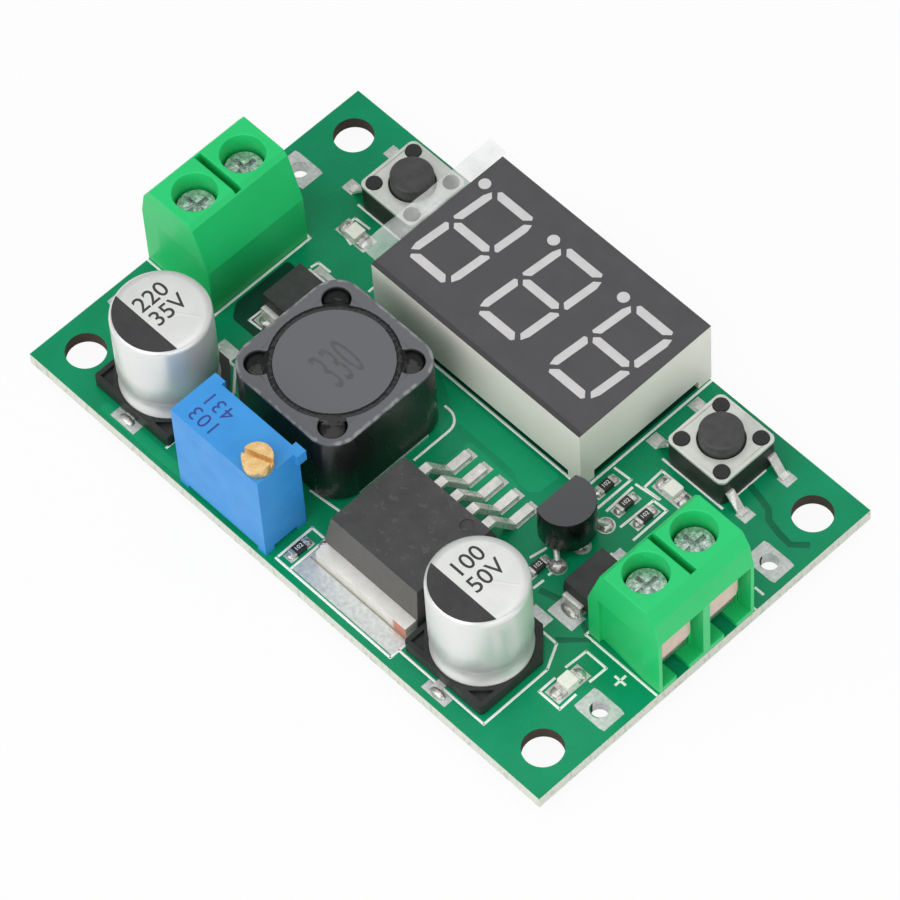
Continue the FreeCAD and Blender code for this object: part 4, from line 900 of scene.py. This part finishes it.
def makeFilm():
    low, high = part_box("display_film")
    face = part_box("display_housing")[1].z
    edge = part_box("display_housing")[0].x
    middle = (low + high) / 2
    level = face + film["clearance"] * mm
    bpy.ops.mesh.primitive_plane_add(size=1, location=(middle.x, middle.y, level))
    piece = bpy.context.object
    piece.scale = ((high.x - low.x) * film["trim"], (high.y - low.y) * film["trim"], 1)
    settle(piece)
    editMode(piece)
    selectAll()
    bpy.ops.mesh.subdivide(number_cuts=film["cuts"])
    cage = bmesh.from_edit_mesh(piece.data)
    along, across = film["waves"]
    for vertex in cage.verts:
        out = max(edge - vertex.co.x, 0) / (edge - low.x)
        ripple = math.sin(vertex.co.y / mm * along) * math.cos(vertex.co.x / mm * across) + 1
        vertex.co.z += (film["crease"] * ripple * out + film["curl"] * out * out) * mm
    bmesh.update_edit_mesh(piece.data)
    objectMode()
    applyModifier(piece, "SOLIDIFY", thickness=film["thickness"] * mm, offset=1.0)
    finishPiece(piece, "protectiveFilm", "film", replaces=("display_film",),
                smooth=60)
    print("film laid")


makeFilm()


# snap domes under the buttons, which flatten as the plunger goes down


def makeSnapDome(hand):
    # a copy of the CAD dome, with a mesh of its own
    node = nodes[hand + "_switch_dome"]
    piece = linked(hand + "SnapDome", node.data.copy())
    editMode(piece)
    selectAll()
    bpy.ops.mesh.remove_doubles(threshold=rounded["weld"] * mm)
    objectMode()
    finishPiece(piece, hand + "SnapDome", "spring", replaces=(node.name,))
    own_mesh(piece)


for hand in hands:
    makeSnapDome(hand)
print("snap domes set")


# capacitor cans, drawn from aluminium and crimped over the base

can = {
    "radius": 3.97,
    "top": 10.0,
    "bottom": 0.8,
    "shoulder": 0.55,
    "groove": 2.25,
    "grooveDepth": 0.32,
    "grooveReach": 1.0,
    "lip": 0.5,
    # steps round the shoulder, across the groove, round the lip and round the can
    "steps": (6, 12, 5, 72),
    # flat parts that meet the shoulder and the groove
    "flatTop": 0.2,
    "flatSide": 2.0,
    "seam": 0.002,
    "centres": {"output": (-18.15, -11.73), "input": (15.87, -11.47)},
    # rows of plain numbers, as (text, along, up) from the middle of the can
    "numbers": {
        "output": [("220", 0.35, 1.4), ("35V", 0.5, -0.4)],
        "input": [("100", 0.5, 1.57), ("50V", 0.64, -0.29)],
    },
    # the black field lies beyond a straight cut, so far from the middle
    "chord": -1.45,
    "inkRadius": 3.72,
    "inkHeight": 0.012,
    "inkSteps": 96,
    "style": {"size": 2.0, "bold": 0.012},
    # the vent is scored in three faint lines from the middle
    "scoreReach": 3.2,
    "scoreWidth": 0.22,
    "scoreHeight": 0.006,
    "scoreTurns": (35, 155, 275),
}


def canProfile():
    # from the middle of the top down to the middle of the bottom, as (radius, height)
    radius, top, turn = can["radius"], can["top"], can["shoulder"]
    turnSteps, grooveSteps, lipSteps = can["steps"][:3]
    profile = [(0.0, top), (radius / 2, top), (radius - turn - can["flatTop"], top)]
    for step in range(1, turnSteps + 1):
        angle = math.radians(90 * step / turnSteps)
        profile.append((radius - turn + turn * math.sin(angle),
                        top - turn + turn * math.cos(angle)))
    groove, reach, depth = can["groove"], can["grooveReach"], can["grooveDepth"]
    profile.append((radius, groove + reach + can["flatSide"]))
    for step in range(grooveSteps + 1):
        swing = math.pi * step / grooveSteps
        profile.append((radius - depth * math.sin(swing) ** 2, groove + reach * math.cos(swing)))
    low, lip = can["bottom"], can["lip"]
    for step in range(1, lipSteps + 1):
        angle = math.radians(90 * step / lipSteps)
        profile.append((radius - lip + lip * math.cos(angle), low + lip - lip * math.sin(angle)))
    profile.append((0.0, low))
    return profile


def makeCan(end):
    x, y = can["centres"][end]
    piece, cage = emptyMesh()
    line = [cage.verts.new((radius * mm, 0, (height + boardTop) * mm))
            for radius, height in canProfile()]
    for upper, lower in zip(line, line[1:]):
        cage.edges.new((upper, lower))
    bmesh.update_edit_mesh(piece.data)
    bpy.ops.mesh.select_mode(type="EDGE")
    selectAll()
    bpy.ops.mesh.spin(steps=can["steps"][3], angle=2 * math.pi, center=(0, 0, 0),
                      axis=(0, 0, 1))
    selectAll()
    bpy.ops.mesh.remove_doubles(threshold=can["seam"] * mm)
    closeUp()
    piece.location = (x * mm, y * mm, 0)
    finishPiece(piece, end + "Can", "can",
                replaces=(end + "_capacitor_can",), smooth=50)


def makeCanMark(end):
    # the black field on the negative side, cut straight across
    x, y = can["centres"][end]
    level = can["top"] + boardTop + can["inkHeight"] / 2
    bpy.ops.mesh.primitive_cylinder_add(vertices=can["inkSteps"], radius=can["inkRadius"] * mm,
                                        depth=can["inkHeight"] * mm,
                                        location=(x * mm, y * mm, level * mm))
    mark = settle(bpy.context.object)
    editMode(mark)
    selectAll()
    bpy.ops.mesh.bisect(plane_co=(0, (y + can["chord"]) * mm, 0), plane_no=(0, 1, 0),
                        clear_outer=True, use_fill=True)
    objectMode()
    finishPiece(mark, end + "CanField", "blackInk")


def makeCanScore(end):
    # three faint lines from the middle, where the can may vent
    x, y = can["centres"][end]
    reach = can["scoreReach"]
    runs = []
    for turn in can["scoreTurns"]:
        angle = math.radians(turn)
        runs.append([(x, y), (x + reach * math.cos(angle), y + reach * math.sin(angle))])
    drawLines(end + "CanScore", runs, can["scoreWidth"], can["scoreHeight"],
              can["top"] + boardTop, "can")


def printNumbers(name, rows, x, y, level, finishKey, slot, size, turn=90, squeeze=1.0,
                 spacing=1.0, height=0.01, bold=0.0):
    # rows of plain numbers, each by its middle: (text, along, up)
    made = []
    for text, along, up in rows:
        bpy.ops.object.text_add(location=(along * mm, up * mm, 0))
        line = bpy.context.object
        line.data.body = text
        line.data.size = size * mm
        line.data.extrude = height / 2 * mm
        line.data.space_character = spacing
        line.data.align_x, line.data.align_y = "CENTER", "CENTER"
        line.data.offset = bold * mm
        line.data.resolution_u = 4
        bpy.ops.object.convert(target="MESH")
        line = bpy.context.object
        line.scale.x = squeeze
        made.append(settle(line))
    piece = joined(made)
    piece.rotation_euler.z = math.radians(turn)
    piece.location = (x * mm, y * mm, (level + height / 2) * mm)
    finishPiece(piece, name, finishKey, smooth=30)


def makeCans():
    for end, (x, y) in can["centres"].items():
        makeCan(end)
        makeCanMark(end)
        makeCanScore(end)
        printNumbers(end + "CanNumbers", can["numbers"][end], x, y, can["top"] + boardTop,
                     "blackInk", "aluminium_can", **can["style"])
    print("capacitor cans made")


makeCans()


# the coil's glue, in the ring gap and the four corner pits

coil = {
    "centre": (-6.55, -4.8),
    "top": 7.9,
    # a bead of glue in the ring gap: radius, half width, half height, and how far its middle
    # lies below the top
    "bead": (4.93, 0.5, 0.2, 0.17),
    # pools in the four corner pits and the runs that join them to the ring: reach along x and
    # y, radius, half height, and how far below the top
    "blobs": [(4.05, 1.12, 0.34, 0.5), (3.6, 0.7, 0.26, 0.34)],
    "steps": {"bead": 96, "blob": 24, "round": 12},
    "voxel": 0.08,
    "uneven": 0.045,
    "seed": 4,
    # the uneven skin is smoothed so far, so many times
    "smoothing": (0.5, 3),
    "rows": [("330", 0.0, -0.5)],
    "style": {"size": 5.2, "squeeze": 0.4, "height": 0.006},
}


def makeCoilGlue():
    # beads and blobs melted into one uneven skin
    x, y = coil["centre"]
    top = coil["top"] + boardTop
    radius, wide, high, sink = coil["bead"]
    steps = coil["steps"]
    bpy.ops.mesh.primitive_torus_add(major_segments=steps["bead"], minor_segments=steps["round"],
                                     major_radius=radius * mm, minor_radius=wide * mm,
                                     location=(x * mm, y * mm, (top - sink) * mm))
    bead = bpy.context.object
    bead.scale.z = high / wide
    made = [settle(bead)]
    for side in (-1, 1):
        for row in (-1, 1):
            for reach, size, high, sink in coil["blobs"]:
                spot = ((x + side * reach) * mm, (y + row * reach) * mm, (top - sink) * mm)
                bpy.ops.mesh.primitive_uv_sphere_add(segments=steps["blob"],
                                                     ring_count=steps["round"],
                                                     radius=size * mm, location=spot,
                                                     scale=(1, 1, high / size))
                made.append(settle(bpy.context.object))
    piece = joined(made)
    applyModifier(piece, "REMESH", mode="VOXEL", voxel_size=coil["voxel"] * mm)
    editMode(piece)
    bpy.ops.mesh.select_mode(type="VERT")
    selectAll()
    bpy.ops.transform.vertex_random(offset=coil["uneven"] * mm, seed=coil["seed"])
    factor, repeat = coil["smoothing"]
    bpy.ops.mesh.vertices_smooth(factor=factor, repeat=repeat)
    objectMode()
    finishPiece(piece, "coilGlue", "glue", replaces=("coil_glue",), smooth=80)


makeCoilGlue()
printNumbers("coilNumbers", coil["rows"], *coil["centre"], coil["top"] + boardTop, "greyInk",
             "ferrite", **coil["style"])
print("coil finished")


# numbers on the trimmer and the chip resistors

trimmer = {
    "centre": (-6.35, -15.1),
    "top": 10.0,
    "rows": [("103", 2.19, 0.94), ("431", 2.33, -0.66)],
    "style": {"size": 1.75, "turn": 180, "spacing": 1.12},
}
chipMark = {"rows": [("102", 0.0, 0.0)], "style": {"size": 0.5, "height": 0.008}}

printNumbers("trimmerNumbers", trimmer["rows"], *trimmer["centre"], trimmer["top"] + boardTop,
             "navyInk", "blue_trimmer_plastic", **trimmer["style"])
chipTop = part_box("chip_resistor_bodies")[1].z / mm
for number, (x, y) in enumerate(chips):
    printNumbers("chipNumber" + str(number), chipMark["rows"], x, y, chipTop, "ink",
                 "chip_ceramic", **chipMark["style"])
print("numbers printed")


# the photographer's table, lights and camera

studio = {
    "floorTone": "#E6E6E6",
    "floorRoughness": 0.9,
    "floorGlow": 0.93,
    "floorSize": 2.0,
    "white": "#FFFFFF",
    # the white room as a lamp, and as metal and glass mirror it
    "skyLevel": 0.38,
    "skyMirrored": 0.28,
    # name: (azimuth, elevation, distance, width, height, watts)
    "lamps": {
        "overheadSoftbox": (0, 88, 0.5, 0.6, 0.6, 1.05),
        "frontSoftbox": (-6, 36, 0.5, 0.7, 0.4, 1.55),
        "rightFill": (80, 24, 0.5, 0.5, 0.3, 0.62),
        "rearRim": (150, 35, 0.5, 0.4, 0.3, 0.15),
    },
}
# the photograph's own view: angles in degrees, lengths in mm
cameraView = {
    "azimuth": 49.6127,
    "elevation": 57.1779,
    "roll": -4.3711,
    "target": (1.4846, -0.9198, 2.4),
    "distance": 457.4157,
    "lens": 240.778,
    "sensor": 36.0,
    "clip": (10, 10000),
}


def mirroredRay(tree, ray):
    # 1 for what the camera sees by way of metal or glass
    return calculate(tree, "MAXIMUM", (ray, "Is Glossy Ray"), (ray, "Is Transmission Ray"))


def whiteTable():
    # white for the camera and in reflections and glass, plain matt paper for the light
    material, tree, shader = newMaterial("whiteTable")
    shader.inputs["Base Color"].default_value = hexColour(studio["floorTone"])
    shader.inputs["Roughness"].default_value = studio["floorRoughness"]
    ray = addNode(tree, "ShaderNodeLightPath")
    seen = calculate(tree, "MAXIMUM", (ray, "Is Camera Ray"), mirroredRay(tree, ray))
    amount = calculate(tree, "MULTIPLY", seen, studio["floorGlow"])
    light = addNode(tree, "ShaderNodeEmission", {"Color": hexColour(studio["white"]),
                                                 "Strength": 1.0})
    mixed = addNode(tree, "ShaderNodeMixShader", {0: amount, 1: (shader, 0), 2: (light, 0)})
    output = next(node for node in tree.nodes if node.type == "OUTPUT_MATERIAL")
    tree.links.new(mixed.outputs[0], output.inputs["Surface"])
    return material


def makeFloor():
    bpy.ops.mesh.primitive_plane_add(size=studio["floorSize"])
    floor = bpy.context.object
    floor.name = "floor"
    floor.data.materials.append(whiteTable())


def makeSky():
    world = bpy.data.worlds.new("studioSky")
    bpy.context.scene.world = world
    world.use_nodes = True
    tree = world.node_tree
    tree.nodes.clear()
    ray = addNode(tree, "ShaderNodeLightPath")
    mirrored = addNode(tree, "ShaderNodeMix", {0: mirroredRay(tree, ray),
                                               2: studio["skyLevel"], 3: studio["skyMirrored"]})
    level = addNode(tree, "ShaderNodeMix", {0: (ray, "Is Camera Ray"), 2: (mirrored, 0), 3: 1.0})
    light = addNode(tree, "ShaderNodeBackground", {"Color": hexColour(studio["white"]),
                                                   "Strength": (level, 0)})
    addNode(tree, "ShaderNodeOutputWorld", {"Surface": (light, 0)})


def direction(azimuth, elevation):
    # azimuth 0 looks from the front, and 90 from the right
    turn, rise = math.radians(azimuth), math.radians(elevation)
    return Vector((math.sin(turn) * math.cos(rise), -math.cos(turn) * math.cos(rise),
                   math.sin(rise)))


def makeLamps():
    for name, place in studio["lamps"].items():
        azimuth, elevation, distance, width, height, watts = place
        data = bpy.data.lights.new(name, "AREA")
        data.shape = "RECTANGLE"
        data.size, data.size_y = width, height
        data.energy = watts
        lamp = linked(name, data)
        towards = direction(azimuth, elevation)
        lamp.location = towards * distance
        lamp.rotation_euler = towards.to_track_quat("Z", "Y").to_euler()


def makeCamera():
    data = bpy.data.cameras.new("camera")
    data.lens = cameraView["lens"]
    data.sensor_width = cameraView["sensor"]
    data.clip_start, data.clip_end = (limit * mm for limit in cameraView["clip"])
    camera = linked("camera", data)
    around, roll = math.radians(cameraView["azimuth"]), math.radians(cameraView["roll"])
    back = direction(cameraView["azimuth"], cameraView["elevation"])
    level = Vector((math.cos(around), math.sin(around), 0))
    upright = back.cross(level)
    right = math.cos(roll) * level + math.sin(roll) * upright
    up = -math.sin(roll) * level + math.cos(roll) * upright
    spot = Vector(cameraView["target"]) * mm + back * cameraView["distance"] * mm
    turn = Matrix((right, up, back)).transposed()
    camera.matrix_world = Matrix.Translation(spot) @ turn.to_4x4()
    bpy.context.scene.camera = camera


makeFloor()
makeSky()
makeLamps()
makeCamera()
bpy.context.scene.view_settings.view_transform = "Standard"
print("studio set")

deselectAll()
